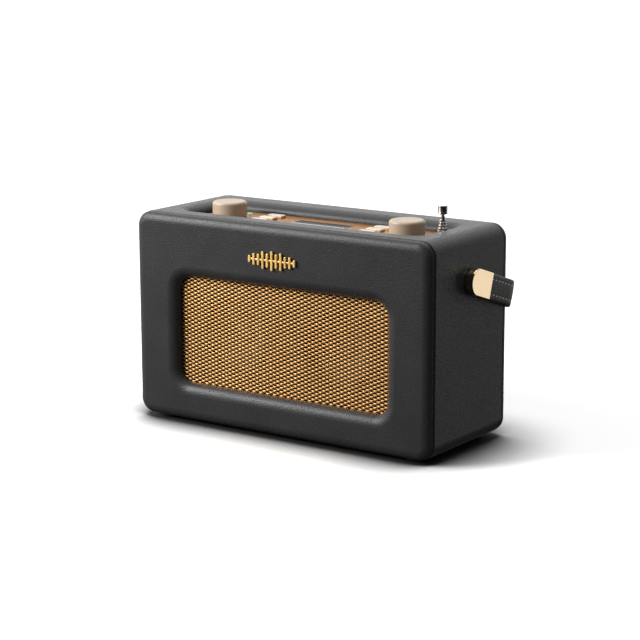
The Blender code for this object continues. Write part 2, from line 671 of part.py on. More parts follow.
def make_badge(frame):
    """A plain ornament: a rail with a row of bars whose heights swell and fade."""
    pitch = BADGE_WIDTH / (BADGE_BARS - 0.5)
    bar = pitch / 2
    swell = [
        0.30 + 0.70 * math.sin(math.pi * (i + 0.5) / BADGE_BARS) * (1.0 if i % 2 else 0.62)
        for i in range(BADGE_BARS)
    ]
    tallest = max(swell)
    upper, lower = [], []
    for index, share in enumerate(swell):
        left = -BADGE_WIDTH / 2 + index * pitch
        half = max(BADGE_RAIL, BADGE_HEIGHT / 2 * share / tallest)
        if index:
            upper.append((left, BADGE_RAIL / 2))
            lower.append((left, -BADGE_RAIL / 2))
        upper += [(left, half), (left + bar, half)]
        lower += [(left, -half), (left + bar, -half)]
        if index < BADGE_BARS - 1:
            upper.append((left + bar, BADGE_RAIL / 2))
            lower.append((left + bar, -BADGE_RAIL / 2))
    mesh = plate_from_outline("badge", upper + lower[::-1], BADGE_THICKNESS)
    place = (BADGE_SHIFT, FRONT_Y - CLEAR - BADGE_THICKNESS / 2, CABINET_HEIGHT - BADGE_DROP)
    piece("badge", mesh, "badge_gold", frame, place, (math.pi / 2, 0, 0))


def button_places():
    """(name, x, y) of each key: a column beside each knob, numbered from the back."""
    return [
        (f"{side}_button_{row + 1}", sign * BUTTON_X, BUTTON_REAR_Y - row * BUTTON_PITCH)
        for side, sign in (("left", -1), ("right", 1))
        for row in range(BUTTON_ROWS)
    ]


def make_control_panel(frame):
    """The brushed panel in the recess, with a hole for each thing that passes through it."""
    size = (2 * (RECESS_HALF_WIDTH - CLEAR), 2 * (RECESS_HALF_DEPTH - CLEAR), PANEL_THICKNESS)
    middle_z = PANEL_TOP_Z - PANEL_THICKNESS / 2
    mesh = block("control_panel", size, 2, RECESS_CORNER - CLEAR)
    panel = piece("control_panel", mesh, "copper_panel", frame, (0, 0, middle_z))
    deep = PANEL_THICKNESS * 4
    for side in (-1, 1):
        radius = ENCODER_BUSH_RADIUS + CLEAR
        place = (side * KNOB_X, KNOB_Y, middle_z)
        boolean(panel, cylinder_cutter(f"knob_hole_{side}", radius, deep, frame, place))
    for name, x, y in button_places():
        hole_size = (BUTTON_LENGTH + 2 * CLEAR, BUTTON_DEPTH + 2 * CLEAR, deep)
        hole = block(f"{name}_hole", hole_size)
        boolean(panel, tool(f"{name}_hole", hole, frame, (x, y, middle_z)))
    window = block("window_hole", (DISPLAY_WIDTH + 2 * CLEAR, DISPLAY_DEPTH + 2 * CLEAR, deep))
    boolean(panel, tool("window_hole", window, frame, (0, 0, middle_z)))
    lamp_place = (*lamp_xy(), middle_z)
    boolean(panel, cylinder_cutter("lamp_hole", LAMP_DIAMETER / 2 + CLEAR, deep, frame, lamp_place))
    bush_place = (ANTENNA_X, ANTENNA_Y, middle_z)
    hole_radius = BUSH_NECK_RADIUS + CLEAR
    boolean(panel, cylinder_cutter("bush_hole", hole_radius, deep, frame, bush_place))
    return panel


def lamp_xy():
    return -KNOB_X + LAMP_OFFSET[0], KNOB_Y + LAMP_OFFSET[1]


def make_control_tray(frame):
    """The moulded tray under the panel, hung from the sleeve by its flange."""
    width = 2 * (RECESS_HALF_WIDTH - 2 * CLEAR)
    depth = 2 * (RECESS_HALF_DEPTH - 2 * CLEAR)
    middle_z = TRAY_TOP_Z - TRAY_DEPTH / 2
    corner = RECESS_CORNER - 2 * CLEAR
    mesh = block("control_tray", (width, depth, TRAY_DEPTH), 2, corner)
    tray = piece("control_tray", mesh, "black_plastic", frame, (0, 0, middle_z))
    flange_top = CABINET_HEIGHT - SLEEVE_SKIN - CLEAR
    flange_size = (width + 2 * TRAY_FLANGE, depth + 2 * TRAY_FLANGE, TRAY_WALL)
    flange_mesh = block("tray_flange", flange_size, 2, corner)
    flange = tool("tray_flange", flange_mesh, frame, (0, 0, flange_top - TRAY_WALL / 2))
    boolean(tray, flange, "UNION")
    inside = (width - 2 * TRAY_WALL, depth - 2 * TRAY_WALL, TRAY_DEPTH)
    inside_mesh = block("tray_inside", inside, 2, corner - TRAY_WALL)
    boolean(tray, tool("tray_inside", inside_mesh, frame, (0, 0, middle_z + TRAY_WALL)))
    hole_radius = BUSH_BORE_RADIUS + CLEAR
    hole_place = (ANTENNA_X, ANTENNA_Y, TRAY_FLOOR_Z)
    boolean(tray, cylinder_cutter("tray_antenna_hole", hole_radius, TRAY_DEPTH * 3, frame, hole_place))


def make_control_board(frame):
    """The board under the panel, with the two rotary encoders and the screen module soldered on it."""
    width = 2 * (ANTENNA_X - ANTENNA_DIAMETER)
    depth = 2 * (RECESS_HALF_DEPTH - 2 * CLEAR - TRAY_WALL - MM)
    place = (0, 0, BOARD_TOP_Z - BOARD_THICKNESS / 2)
    mesh = block("control_board", (width, depth, BOARD_THICKNESS))
    board = piece("control_board", mesh, "green_board", frame, place)
    sunk = BOARD_THICKNESS / 2
    for side in (-1, 1):
        body_height = ENCODER_HEIGHT + sunk
        body_mesh = block(f"encoder_{side}", (ENCODER_SIZE, ENCODER_SIZE, body_height))
        body_place = (side * KNOB_X, KNOB_Y, BOARD_TOP_Z - sunk + body_height / 2)
        boolean(board, tool(f"encoder_{side}", body_mesh, frame, body_place), "UNION")
        neck_low = BOARD_TOP_Z + ENCODER_HEIGHT / 2
        neck_radius = ENCODER_BUSH_RADIUS
        neck_length = ENCODER_NECK_Z - neck_low
        neck_place = (side * KNOB_X, KNOB_Y, neck_low + neck_length / 2)
        neck = cylinder_cutter(f"encoder_neck_{side}", neck_radius, neck_length, frame, neck_place)
        boolean(board, neck, "UNION")
        running = SHAFT_DIAMETER / 2 + SHAFT_RUNNING_GAP
        bore_length = 2 * (ENCODER_NECK_Z - ENCODER_BORE_Z)
        bore_place = (side * KNOB_X, KNOB_Y, ENCODER_NECK_Z)
        bore = cylinder_cutter(f"encoder_bore_{side}", running, bore_length, frame, bore_place, steps=FINE)
        boolean(board, bore)
    module_height = PANEL_UNDER_Z - CLEAR - BOARD_TOP_Z + sunk
    module_size = (DISPLAY_WIDTH - 2 * MM, DISPLAY_DEPTH - 2 * MM, module_height)
    module_mesh = block("screen_module", module_size)
    module_place = (0, 0, PANEL_UNDER_Z - CLEAR - module_height / 2)
    boolean(board, tool("screen_module", module_mesh, frame, module_place), "UNION")


def make_buttons(frame):
    """Eight keys that each slide down through the panel."""
    lip_top = -PANEL_THICKNESS - CLEAR
    stem_end = KEYPAD_TOP_Z + CLEAR + BUTTON_TRAVEL - PANEL_TOP_Z
    for name, x, y in button_places():
        cap_height = BUTTON_RISE - lip_top + BUTTON_LIP / 2
        cap = rounded_block((BUTTON_LENGTH, BUTTON_DEPTH, cap_height), 2, BUTTON_CORNER, 2)
        bmesh.ops.translate(cap, vec=(0, 0, BUTTON_RISE - cap_height / 2), verts=cap.verts)
        button = piece(name, mesh_from(cap, name), "cream_key", frame, (x, y, PANEL_TOP_Z))
        lip_size = (BUTTON_LENGTH + 2 * BUTTON_LIP, BUTTON_DEPTH + 2 * BUTTON_LIP, BUTTON_LIP)
        lip_z = PANEL_TOP_Z + lip_top - BUTTON_LIP / 2
        lip = tool(f"{name}_lip", block(f"{name}_lip", lip_size), frame, (x, y, lip_z))
        boolean(button, lip, "UNION")
        stem_length = lip_top - BUTTON_LIP / 2 - stem_end
        stem_place = (x, y, PANEL_TOP_Z + stem_end + stem_length / 2)
        stem_radius = BUTTON_STEM_DIAMETER / 2
        stem = cylinder_cutter(f"{name}_stem", stem_radius, stem_length, frame, stem_place, steps=COARSE)
        boolean(button, stem, "UNION")


def make_keypad(frame):
    """The rubber keypad on the board: a dome under each key, on a sheet that passes behind the screen."""
    low = BOARD_TOP_Z + CLEAR
    middle_z = low + KEYPAD_SHEET / 2
    rear = BUTTON_REAR_Y + BUTTON_DEPTH * 0.75
    front = DISPLAY_DEPTH / 2
    bridge = block("keypad", (2 * BUTTON_X, rear - front, KEYPAD_SHEET))
    pad = piece("keypad", bridge, "rubber", frame, (0, (rear + front) / 2, middle_z))
    column = (BUTTON_ROWS - 1) * BUTTON_PITCH + BUTTON_DEPTH * 1.5
    for side in (-1, 1):
        sheet = block(f"keypad_sheet_{side}", (BUTTON_DEPTH * 1.5, column, KEYPAD_SHEET), 2, MM, 2)
        sheet_place = (side * BUTTON_X, rear - column / 2, middle_z)
        boolean(pad, tool(f"keypad_sheet_{side}", sheet, frame, sheet_place), "UNION")
    for name, x, y in button_places():
        length = KEYPAD_TOP_Z - middle_z
        place = (x, y, middle_z + length / 2)
        dome = cylinder_cutter(f"{name}_dome", BUTTON_DEPTH / 2, length, frame, place, steps=COARSE)
        boolean(pad, dome, "UNION")


def make_display(frame):
    """The dark window in the panel, and the small lamp behind the left knob."""
    window_height = PANEL_THICKNESS + DISPLAY_PROUD
    window = block("display_window", (DISPLAY_WIDTH, DISPLAY_DEPTH, window_height), 2, 0.4 * MM, 2)
    window_z = PANEL_UNDER_Z + window_height / 2
    piece("display_window", window, "display_glass", frame, (0, 0, window_z))
    radius = LAMP_DIAMETER / 2
    dome = 0.3 * MM
    profile = [(0, dome), (radius * 0.7, dome * 0.8), (radius, 0), (radius, -5 * MM), (0, -5 * MM)]
    turned("status_lamp", profile, "lamp_green", frame, (*lamp_xy(), PANEL_TOP_Z), steps=COARSE)


def make_knob(side, knob_name, shaft_name, frame):
    """A knob pressed on the shaft that turns in its encoder."""
    place = (side * KNOB_X, KNOB_Y, KNOB_BASE_Z)
    radius = KNOB_DIAMETER / 2
    top = CABINET_HEIGHT + KNOB_RISE - KNOB_BASE_Z
    shaft_top = CABINET_HEIGHT + SHAFT_RISE - KNOB_BASE_Z
    shaft_radius = SHAFT_DIAMETER / 2
    bore = shaft_radius + CLEAR
    soft = 0.4 * MM
    crown = arc((radius - KNOB_EDGE_RADIUS, top - KNOB_EDGE_RADIUS), KNOB_EDGE_RADIUS, math.pi / 2, 0, 6)
    profile = [(0, top)] + crown + [(radius, soft), (radius - soft, 0), (bore, 0)]
    profile += [(bore, shaft_top + CLEAR), (0, shaft_top + CLEAR)]
    turned(knob_name, profile, "beige_knob", frame, place, steps=FINE)
    shaft = rod_profile(shaft_radius, ENCODER_BORE_Z + CLEAR - KNOB_BASE_Z, shaft_top)
    turned(shaft_name, shaft, "steel", frame, place, steps=MEDIUM)


def make_antenna(frame):
    """The telescopic antenna, stored upright: an outer sleeve, five tubes and the rod with its cap."""
    place = (ANTENNA_X, ANTENNA_Y, 0)
    outer = ANTENNA_DIAMETER / 2
    shrink = ANTENNA_WALL + ANTENNA_GAP
    top = PANEL_TOP_Z + ANTENNA_RISE
    floor = ANTENNA_FLOOR
    for index in range(ANTENNA_SECTIONS + 1):
        radius = outer - index * shrink
        name = f"antenna_section_{index}" if index else "antenna_sleeve"
        profile = tube_profile(
            radius - ANTENNA_WALL, radius, floor + index * MM, top + index * ANTENNA_STEP
        )
        turned(name, profile, "chrome", frame, place, steps=ANTENNA_SIDES, closed=True)
    rod_radius = outer - (ANTENNA_SECTIONS + 1) * shrink
    cap_low = top + (ANTENNA_SECTIONS + 1) * ANTENNA_STEP
    cap_radius, cap_height = ANTENNA_CAP[0] / 2, ANTENNA_CAP[1]
    soft = 0.3 * MM
    profile = [
        (0, cap_low + cap_height),
        (cap_radius - soft, cap_low + cap_height),
        (cap_radius, cap_low + cap_height - soft),
        (cap_radius, cap_low + soft),
        (cap_radius - soft, cap_low),
        (rod_radius, cap_low),
        (rod_radius, floor + (ANTENNA_SECTIONS + 1) * MM),
        (0, floor + (ANTENNA_SECTIONS + 1) * MM),
    ]
    turned("antenna_tip", profile, "chrome", frame, place, steps=ANTENNA_SIDES)
    rim = BUSH_NECK_RADIUS + BUSH_LIP
    bush = [
        (rim, BUSH_FLANGE),
        (rim, CLEAR),
        (BUSH_NECK_RADIUS, CLEAR),
        (BUSH_NECK_RADIUS, -PANEL_THICKNESS),
        (BUSH_BORE_RADIUS, -PANEL_THICKNESS),
        (BUSH_BORE_RADIUS, BUSH_FLANGE),
    ]
    bush_place = (ANTENNA_X, ANTENNA_Y, PANEL_TOP_Z)
    turned("antenna_bush", bush, "black_plastic", frame, bush_place, steps=MEDIUM, closed=True)


def strap_outline():
    """The strap seen square on: an arm beside each end of the cabinet and the grip across its back."""
    outer_x = STRAP_X + STRAP_THICKNESS / 2
    inner_x = STRAP_X - STRAP_THICKNESS / 2
    start = BRACKET_BLOCK + CLEAR
    bend = STRAP_BEND - STRAP_THICKNESS
    bend_x, bend_y = outer_x - STRAP_BEND, STRAP_OUTER_REACH - STRAP_BEND
    steps = 8
    outside = [(outer_x, start)] + arc((bend_x, bend_y), STRAP_BEND, 0, math.pi / 2, steps)
    outside += arc((-bend_x, bend_y), STRAP_BEND, math.pi / 2, math.pi, steps) + [(-outer_x, start)]
    inside = [(-inner_x, start)] + arc((-bend_x, bend_y), bend, math.pi, math.pi / 2, steps)
    inside += arc((bend_x, bend_y), bend, math.pi / 2, 0, steps) + [(inner_x, start)]
    return outside + inside


def make_handle(frame, pivot, sleeve, cover):
    """The strap, the two brackets that grip its ends, and the pins that they turn on."""
    strap = plate_from_outline("handle_strap", strap_outline(), STRAP_WIDTH)
    piece("handle_strap", strap, "strap_leather", pivot)
    half = BRACKET_WIDTH / 2
    outline = arc((0, 0), half, math.pi, 2 * math.pi, 14) + [(half, BRACKET_TONGUE), (-half, BRACKET_TONGUE)]
    pin_radius = PIVOT_PIN_DIAMETER / 2
    blind_end = BRACKET_OUTER_X - 1.6 * MM
    bush_inner_x = HALF_WIDTH - SLEEVE_SKIN - 2 * CLEAR
    for side, name in ((-1, "left"), (1, "right")):
        bracket_name = f"{name}_handle_bracket"
        bracket_mesh = plate_from_outline(bracket_name, outline, BRACKET_THICKNESS)
        bracket_place = (side * STRAP_X, 0, 0)
        bracket = piece(bracket_name, bracket_mesh, "brass", pivot, bracket_place, (0, math.pi / 2, 0))
        slot_size = (STRAP_THICKNESS + 2 * CLEAR, 2 * BRACKET_TONGUE, 2 * BRACKET_WIDTH)
        slot = block(f"{name}_strap_slot", slot_size)
        slot_place = (side * STRAP_X, BRACKET_BLOCK + BRACKET_TONGUE, 0)
        boolean(bracket, tool(f"{name}_strap_slot", slot, pivot, slot_place))
        facing = (0, side * math.pi / 2, 0)
        blind = cylinder_cutter(
            f"{name}_bracket_bore",
            pin_radius + CLEAR,
            2 * (blind_end + CLEAR - BRACKET_INNER_X),
            pivot,
            (side * BRACKET_INNER_X, 0, 0),
            facing,
        )
        boolean(bracket, blind)
        head_radius = pin_radius + PIN_HEAD_LIP
        head_out = bush_inner_x - 2 * CLEAR
        pin = [
            (0, blind_end),
            (pin_radius, blind_end),
            (pin_radius, head_out),
            (head_radius, head_out),
            (head_radius, head_out - PIN_HEAD_LENGTH),
            (0, head_out - PIN_HEAD_LENGTH),
        ]
        turned(f"{name}_pivot_pin", pin, "steel", pivot, (0, 0, 0), facing, steps=COARSE)
        hole = cylinder_cutter(
            f"{name}_bush_hole",
            PIVOT_BUSH_RADIUS + CLEAR,
            4 * SLEEVE_SKIN,
            frame,
            (side * HALF_WIDTH, PIVOT_Y, PIVOT_Z),
            (0, math.pi / 2, 0),
        )
        boolean(sleeve, hole)
        boolean(cover, hole)
        make_pivot_bush(f"{name}_pivot_bush", facing, frame, pin_radius + PIVOT_RUNNING_GAP, bush_inner_x)


def make_pivot_bush(name, facing, frame, bore, inner_x):
    """The flanged bush through one side wall, in which the handle's pin turns."""
    radius = PIVOT_BUSH_RADIUS
    flange, length = radius + PIVOT_FLANGE_LIP, PIVOT_FLANGE_THICKNESS
    flange_x = HALF_WIDTH + CLEAR
    profile = [
        (flange, flange_x + length),
        (flange, flange_x),
        (radius, flange_x),
        (radius, inner_x),
        (bore, inner_x),
        (bore, flange_x + length),
    ]
    place = (0, PIVOT_Y, PIVOT_Z)
    turned(name, profile, "brass", frame, place, facing, MEDIUM, closed=True)


def make_battery(frame):
    """The battery case behind the door: a tray open to the back, and four cells held by one card."""
    middle_y = BATTERY_BACK_Y - BATTERY_DEPTH / 2
    tray_mesh = block("battery_tray", (TRAY_WIDTH, BATTERY_DEPTH, TRAY_HEIGHT))
    tray = piece("battery_tray", tray_mesh, "black_plastic", frame, (0, middle_y, BATTERY_Z))
    inside = (TRAY_WIDTH - 2 * BATTERY_WALL, BATTERY_DEPTH, TRAY_HEIGHT - 2 * BATTERY_WALL)
    inside_place = (0, middle_y + BATTERY_WALL, BATTERY_Z)
    boolean(tray, tool("battery_tray_inside", block("battery_tray_inside", inside), frame, inside_place))
    cell_y = BATTERY_BACK_Y - CELL_PLAY - CELL_DIAMETER / 2
    card_mesh = block("battery_cells", (2 * CELL_LENGTH, CELL_DIAMETER / 4, 2 * MM))
    cells = piece("battery_cells", card_mesh, "cell_jacket", frame, (0, cell_y, BATTERY_Z))
    turn = (0, math.pi / 2, 0)
    for column in (-1, 1):
        for row in (-1, 1):
            z = BATTERY_Z + row * (CELL_DIAMETER + CELL_PLAY) / 2
            x = column * (CELL_LENGTH + CELL_PLAY) / 2
            name = f"cell_{column}_{row}"
            radius = CELL_DIAMETER / 2
            cell = cylinder_cutter(name, radius, CELL_LENGTH, frame, (x, cell_y, z), turn)
            boolean(cells, cell, "UNION")


def make_battery_door(frame):
    """The door, hinged on its rounded lower edge, with a thumb grip near the top."""
    half = DOOR_THICKNESS / 2
    outline = arc((0, 0), half, math.pi, 2 * math.pi, 8)
    outline += [(half, DOOR_HEIGHT - half), (-half, DOOR_HEIGHT - half)]
    mesh = plate_from_outline("battery_door", outline, DOOR_WIDTH)
    hinge = empty("battery_door_hinge", (0, DOOR_AXIS_Y, DOOR_AXIS_Z), frame)
    door = piece("battery_door", mesh, "black_plastic", hinge, turn=(math.pi / 2, 0, math.pi / 2))
    grip_size = (22 * MM, 1.6 * MM, 7 * MM)
    grip_mesh = block("door_grip", grip_size, 1, 3 * MM, 4)
    grip = tool("door_grip", grip_mesh, hinge, (0, half, DOOR_HEIGHT - half - 9 * MM))
    boolean(door, grip)


def make_sockets(frame):
    """The socket plate in the back, the power socket, two audio sockets and the board behind them."""
    width, height, thickness = SOCKET_PLATE
    face_y = HALF_DEPTH - 0.5 * MM
    plate_place = (SOCKET_X, face_y - thickness / 2, SOCKET_Z)
    plate_mesh = block("socket_plate", (width, thickness, height), 1, 2 * MM - CLEAR, 3)
    plate = piece("socket_plate", plate_mesh, "black_plastic", frame, plate_place)
    rows = [SOCKET_Z + SOCKET_PITCH * step for step in (-1, 0, 1)]
    body_width, body_depth, body_height = SOCKET_SIZE
    body_y = face_y - thickness - CLEAR - body_depth / 2
    for index, z in enumerate(rows):
        radius = (DC_BORE_DIAMETER if index == 0 else JACK_BORE_DIAMETER) / 2 + CLEAR
        place = (SOCKET_X, plate_place[1], z)
        hole = cylinder_cutter(
            f"socket_hole_{index}", radius, thickness * 4, frame, place, (math.pi / 2, 0, 0)
        )
        boolean(plate, hole)
    block_height = 2 * SOCKET_PITCH + body_height
    sockets_mesh = block("socket_block", (body_width, body_depth, block_height))
    sockets = piece("socket_block", sockets_mesh, "black_plastic", frame, (SOCKET_X, body_y, SOCKET_Z))
    mouth_y = body_y + body_depth / 2
    ring_mesh = ring_cutter("dc_bore", DC_BORE_DIAMETER / 2, DC_PIN_DIAMETER / 2, SOCKET_BORE_DEPTH)
    boolean(sockets, tool("dc_bore", ring_mesh, frame, (SOCKET_X, mouth_y, rows[0]), (math.pi / 2, 0, 0)))
    for index, z in enumerate(rows[1:]):
        place = (SOCKET_X, mouth_y, z)
        turn = (math.pi / 2, 0, 0)
        radius, length = JACK_BORE_DIAMETER / 2, 2 * SOCKET_BORE_DEPTH
        boolean(sockets, cylinder_cutter(f"jack_bore_{index}", radius, length, frame, place, turn, COARSE))
    board_y = body_y - body_depth / 2 - CLEAR - BOARD_THICKNESS / 2
    board_low = SLEEVE_SKIN + 4 * MM
    board_high = TRAY_TOP_Z - TRAY_DEPTH - 4 * MM
    board_size = (MAIN_BOARD_WIDTH, BOARD_THICKNESS, board_high - board_low)
    board_place = (SOCKET_X, board_y, (board_low + board_high) / 2)
    board = piece("main_board", block("main_board", board_size), "green_board", frame, board_place)
    for index, (dx, dz, across, up) in enumerate(((-6, 10, 14, 14), (9, 28, 9, 9), (-4, -24, 20, 12))):
        chip_mesh = block(f"chip_{index}", (across * MM, 3 * MM, up * MM))
        chip_place = (SOCKET_X + dx * MM, board_y - 1.5 * MM, board_place[2] + dz * MM)
        boolean(board, tool(f"chip_{index}", chip_mesh, frame, chip_place), "UNION")


def ring_cutter(name, outer, inner, depth):
    """A ring-shaped cutter round local Z that reaches down to -depth and leaves a pin standing inside."""
    mesh = bpy.data.meshes.new(name)
    bm = bmesh.new()
    bmesh.ops.create_cone(
        bm, cap_ends=True, segments=COARSE, radius1=outer, radius2=outer, depth=2 * depth
    )
    far = face_towards(bm, (0, 0, 1))
    bmesh.ops.inset_region(bm, faces=[far], thickness=outer - inner, use_even_offset=True)
    moved = bmesh.ops.extrude_discrete_faces(bm, faces=[far])["faces"]
    bmesh.ops.translate(bm, vec=(0, 0, -2 * depth + MM), verts=moved[0].verts)
    bmesh.ops.recalc_face_normals(bm, faces=bm.faces)
    bm.to_mesh(mesh)
    bm.free()
    return mesh


def main():
    frame = empty("cabinet_frame", (0, CABINET_Y, FOOT_HEIGHT))
    pivot = empty("handle_pivot", (0, PIVOT_Y, PIVOT_Z), frame, (HANDLE_REST_ANGLE, 0, 0))
    sleeve = make_sleeve(frame)
    cover = make_cover(frame)
    make_front_panel(frame)
    make_piping("front_piping", BODY_FRONT_Y - CLEAR - PIPING_WIDTH / 2, frame)
    make_piping("back_piping", BODY_BACK_Y + CLEAR + PIPING_WIDTH / 2, frame)
    make_back_panel(frame)
    make_back_screws(frame, sleeve)
    make_feet(frame)
    make_grille(frame)
    make_badge(frame)
    for side, name in ((-1, "left"), (1, "right")):
        make_speaker(side, name, frame)
    make_control_panel(frame)
    make_control_tray(frame)
    make_control_board(frame)
    make_buttons(frame)
    make_keypad(frame)
    make_display(frame)
    make_knob(-1, "volume_knob", "volume_shaft", frame)
    make_knob(1, "tuning_knob", "tuning_shaft", frame)
    make_antenna(frame)
    make_handle(frame, pivot, sleeve, cover)
    make_battery(frame)
    make_battery_door(frame)
    make_sockets(frame)
    bpy.context.view_layer.update()


clear_scene()
parts = new_collection("tabletop_radio")
tools = new_collection("cutters")
main()
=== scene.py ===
import json
import math

import bmesh
import bpy
from mathutils import Matrix, Vector


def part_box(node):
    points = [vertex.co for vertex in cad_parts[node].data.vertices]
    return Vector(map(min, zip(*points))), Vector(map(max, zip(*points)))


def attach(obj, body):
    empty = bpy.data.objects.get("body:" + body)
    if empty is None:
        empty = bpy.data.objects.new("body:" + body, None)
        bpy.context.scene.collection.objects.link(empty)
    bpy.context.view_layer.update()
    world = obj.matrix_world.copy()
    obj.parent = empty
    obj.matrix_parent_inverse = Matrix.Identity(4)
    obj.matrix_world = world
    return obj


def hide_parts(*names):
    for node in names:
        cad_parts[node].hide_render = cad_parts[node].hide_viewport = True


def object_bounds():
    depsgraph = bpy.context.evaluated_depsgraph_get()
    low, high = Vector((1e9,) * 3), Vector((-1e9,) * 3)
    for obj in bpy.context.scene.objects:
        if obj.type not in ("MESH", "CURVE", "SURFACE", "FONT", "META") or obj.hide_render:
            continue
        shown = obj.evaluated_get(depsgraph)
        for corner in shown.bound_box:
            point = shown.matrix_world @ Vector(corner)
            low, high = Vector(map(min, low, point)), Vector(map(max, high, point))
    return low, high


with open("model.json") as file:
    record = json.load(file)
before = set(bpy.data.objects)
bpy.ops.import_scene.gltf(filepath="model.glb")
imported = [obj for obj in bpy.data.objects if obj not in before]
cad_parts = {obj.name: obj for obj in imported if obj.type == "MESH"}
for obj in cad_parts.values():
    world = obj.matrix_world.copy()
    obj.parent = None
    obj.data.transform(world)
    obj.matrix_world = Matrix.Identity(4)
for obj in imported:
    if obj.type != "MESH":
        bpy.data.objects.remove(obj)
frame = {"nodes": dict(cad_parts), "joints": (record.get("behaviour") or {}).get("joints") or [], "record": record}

bl_info = {
    "name": "Tabletop Radio Finish",
    "version": (1, 0, 0),
    "blender": (4, 5, 0),
    "location": "View3D > Sidebar > Radio",
    "description": "Builds the leathercloth, metal and trim of a tabletop radio on its frame",
    "category": "Object",
}

CAD_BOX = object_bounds()
MM = 0.001
CLEAR = 0.3 * MM
LOOP_LIFT = 50 * MM
MERGE = 1e-7
QUARTER_TURN = math.pi / 2

# How finely round shapes are divided
CORNER_STEPS = 12
ROLL_STEPS = 10
TURN_STEPS = 64
SMALL_TURN_STEPS = 32
SMALL_CORNER_STEPS = 5
BEAD_STEPS = 6

# Cabinet
CLOTH_SHEEN = 0.24
CORNER_RADIUS = 11 * MM
PANEL_CORNER_RADIUS = 10.6 * MM
HOLLOW_CORNER = 1.5 * MM
COVER_THICKNESS = 0.8 * MM
COVER_TURN = 0.7 * MM
SLEEVE_SKIN = 9.1 * MM
FRONT_ROLL = (6.8 * MM, 4.3 * MM)
FRONT_FLANGE = 4.9 * MM
BACK_ROLL = (3.0 * MM, 2.6 * MM)
RECESS_ROLL = (9.0 * MM, 6.4 * MM)
RECESS_CORNER = 8 * MM
RECESS_LIP_DEPTH = 16 * MM
PIPING_BREADTH = 3.0 * MM
PIPING_SINK = 0.5 * MM

# Grille
GRILLE_LAP = (3.3 * MM, 4.5 * MM)
GRILLE_CORNER = 10.5 * MM
GRILLE_ROLL = (8.5 * MM, 6.8 * MM)
# Pale colour painted on the grille's raised dots as a highlight
PAINTED_DOT_HIGHLIGHT = (1.0, 0.61, 0.25)
LENS_POWER = 1.1
CELL_STEPS = 3

# Controls
INK_THICKNESS = 0.06 * MM
INK_GAP = 0.01 * MM
DIAL_TICKS = 21
KEY_LIP = 1.0 * MM
KEY_EDGE = 0.7 * MM

# Handle
REST_TILT = math.radians(-18)
STRAP_WIDTH = 18.5 * MM
STRAP_THICKNESS = 3.3 * MM
STRAP_BEND = 20 * MM
STITCH_ROW = STRAP_WIDTH / 2 - 4.1 * MM
BRACKET_TONGUE = 17.75 * MM
BRACKET_BLOCK = 6 * MM
BRACKET_BORE_RADIUS = 3.3 * MM
BRACKET_BLIND = 1.3 * MM
PIVOT = Vector(next(joint["pos_m"] for joint in frame["joints"] if joint["name"] == "handle_swing"))

# Back
DOOR_GAP = 0.4 * MM
SCREW_HEAD_RADIUS = 3.2 * MM
SCREW_HEAD_HEIGHT = 1.8 * MM
SOCKET_PITCH = 16 * MM
DC_RADIUS = 3.2 * MM
JACK_RADIUS = 1.8 * MM

# Studio: where each zone of the room starts and ends, as the cosine from straight up or from the strip
WALL_FOOT = (-0.34, -0.02)
CEILING_EDGE = (0.3, 0.75)
GROUND_EDGE = (-0.75, -0.3)
STRIP_EDGE = (0.984, 0.994)
FLOOR_HALF_WIDTH = 40.0


def corners(node):
    """The middle and the size of a frame node's box."""
    low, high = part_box(node)
    return (low + high) / 2, high - low


# ---------------------------------------------------------------- modelling


def rounded_loop(bm, width, height, corner, centre=(0, 0), level=0.0, steps=CORNER_STEPS):
    """A closed loop round a rectangle with rounded corners, at one level of Z."""
    verts = bmesh.ops.create_circle(bm, cap_ends=False, segments=4 * steps, radius=corner)["verts"]
    half_step = Matrix.Rotation(math.pi / (4 * steps), 3, "Z")
    bmesh.ops.rotate(bm, cent=(0, 0, 0), matrix=half_step, verts=verts)
    for vert in verts:
        vert.co.x += math.copysign(width / 2 - corner, vert.co.x) + centre[0]
        vert.co.y += math.copysign(height / 2 - corner, vert.co.y) + centre[1]
        vert.co.z = level
    return edges_between(verts)


def edges_between(verts):
    chosen = set(verts)
    return list({edge for vert in verts for edge in vert.link_edges if edge.other_vert(vert) in chosen})


def skin(bm, loops, closed=False, lift=(0, 0, LOOP_LIFT)):
    """Faces from each loop of edges to the next.

    Two loops at one level would be bridged with a twist, so each second loop is lifted while it is bridged.
    """
    followers = loops[1:] + loops[:1] if closed else loops[1:]
    for first, second in zip(loops, followers):
        verts = list({vert for edge in second for vert in edge.verts})
        bmesh.ops.translate(bm, vec=lift, verts=verts)
        bmesh.ops.bridge_loops(bm, edges=first + second)
        bmesh.ops.translate(bm, vec=-Vector(lift), verts=verts)


def cap(bm, loop):
    """One face over a loop of edges."""
    bmesh.ops.edgeloop_fill(bm, edges=loop)


def stacked(width, height, corner, centre, levels, steps, ease=1.0, least=0.0):
    """A closed block of rounded loops, one for each (inset, level), from its foot to its top.

    The corners tighten by a share of each inset, down to a least radius.
    """
    bm = bmesh.new()
    loops = []
    for inset, level in levels:
        tightened = min(corner, max(least, corner - ease * inset))
        outline = (width - 2 * inset, height - 2 * inset, tightened)
        loops.append(rounded_loop(bm, *outline, centre, level, steps))
    skin(bm, loops)
    cap(bm, loops[0])
    cap(bm, loops[-1])
    return bm


def quarter(across, rise, steps=ROLL_STEPS):
    """(inset, rise) of a quarter round that starts upright and ends flat."""
    turns = [QUARTER_TURN * index / steps for index in range(steps + 1)]
    return [(across * (1 - math.cos(turn)), rise * math.sin(turn)) for turn in turns]


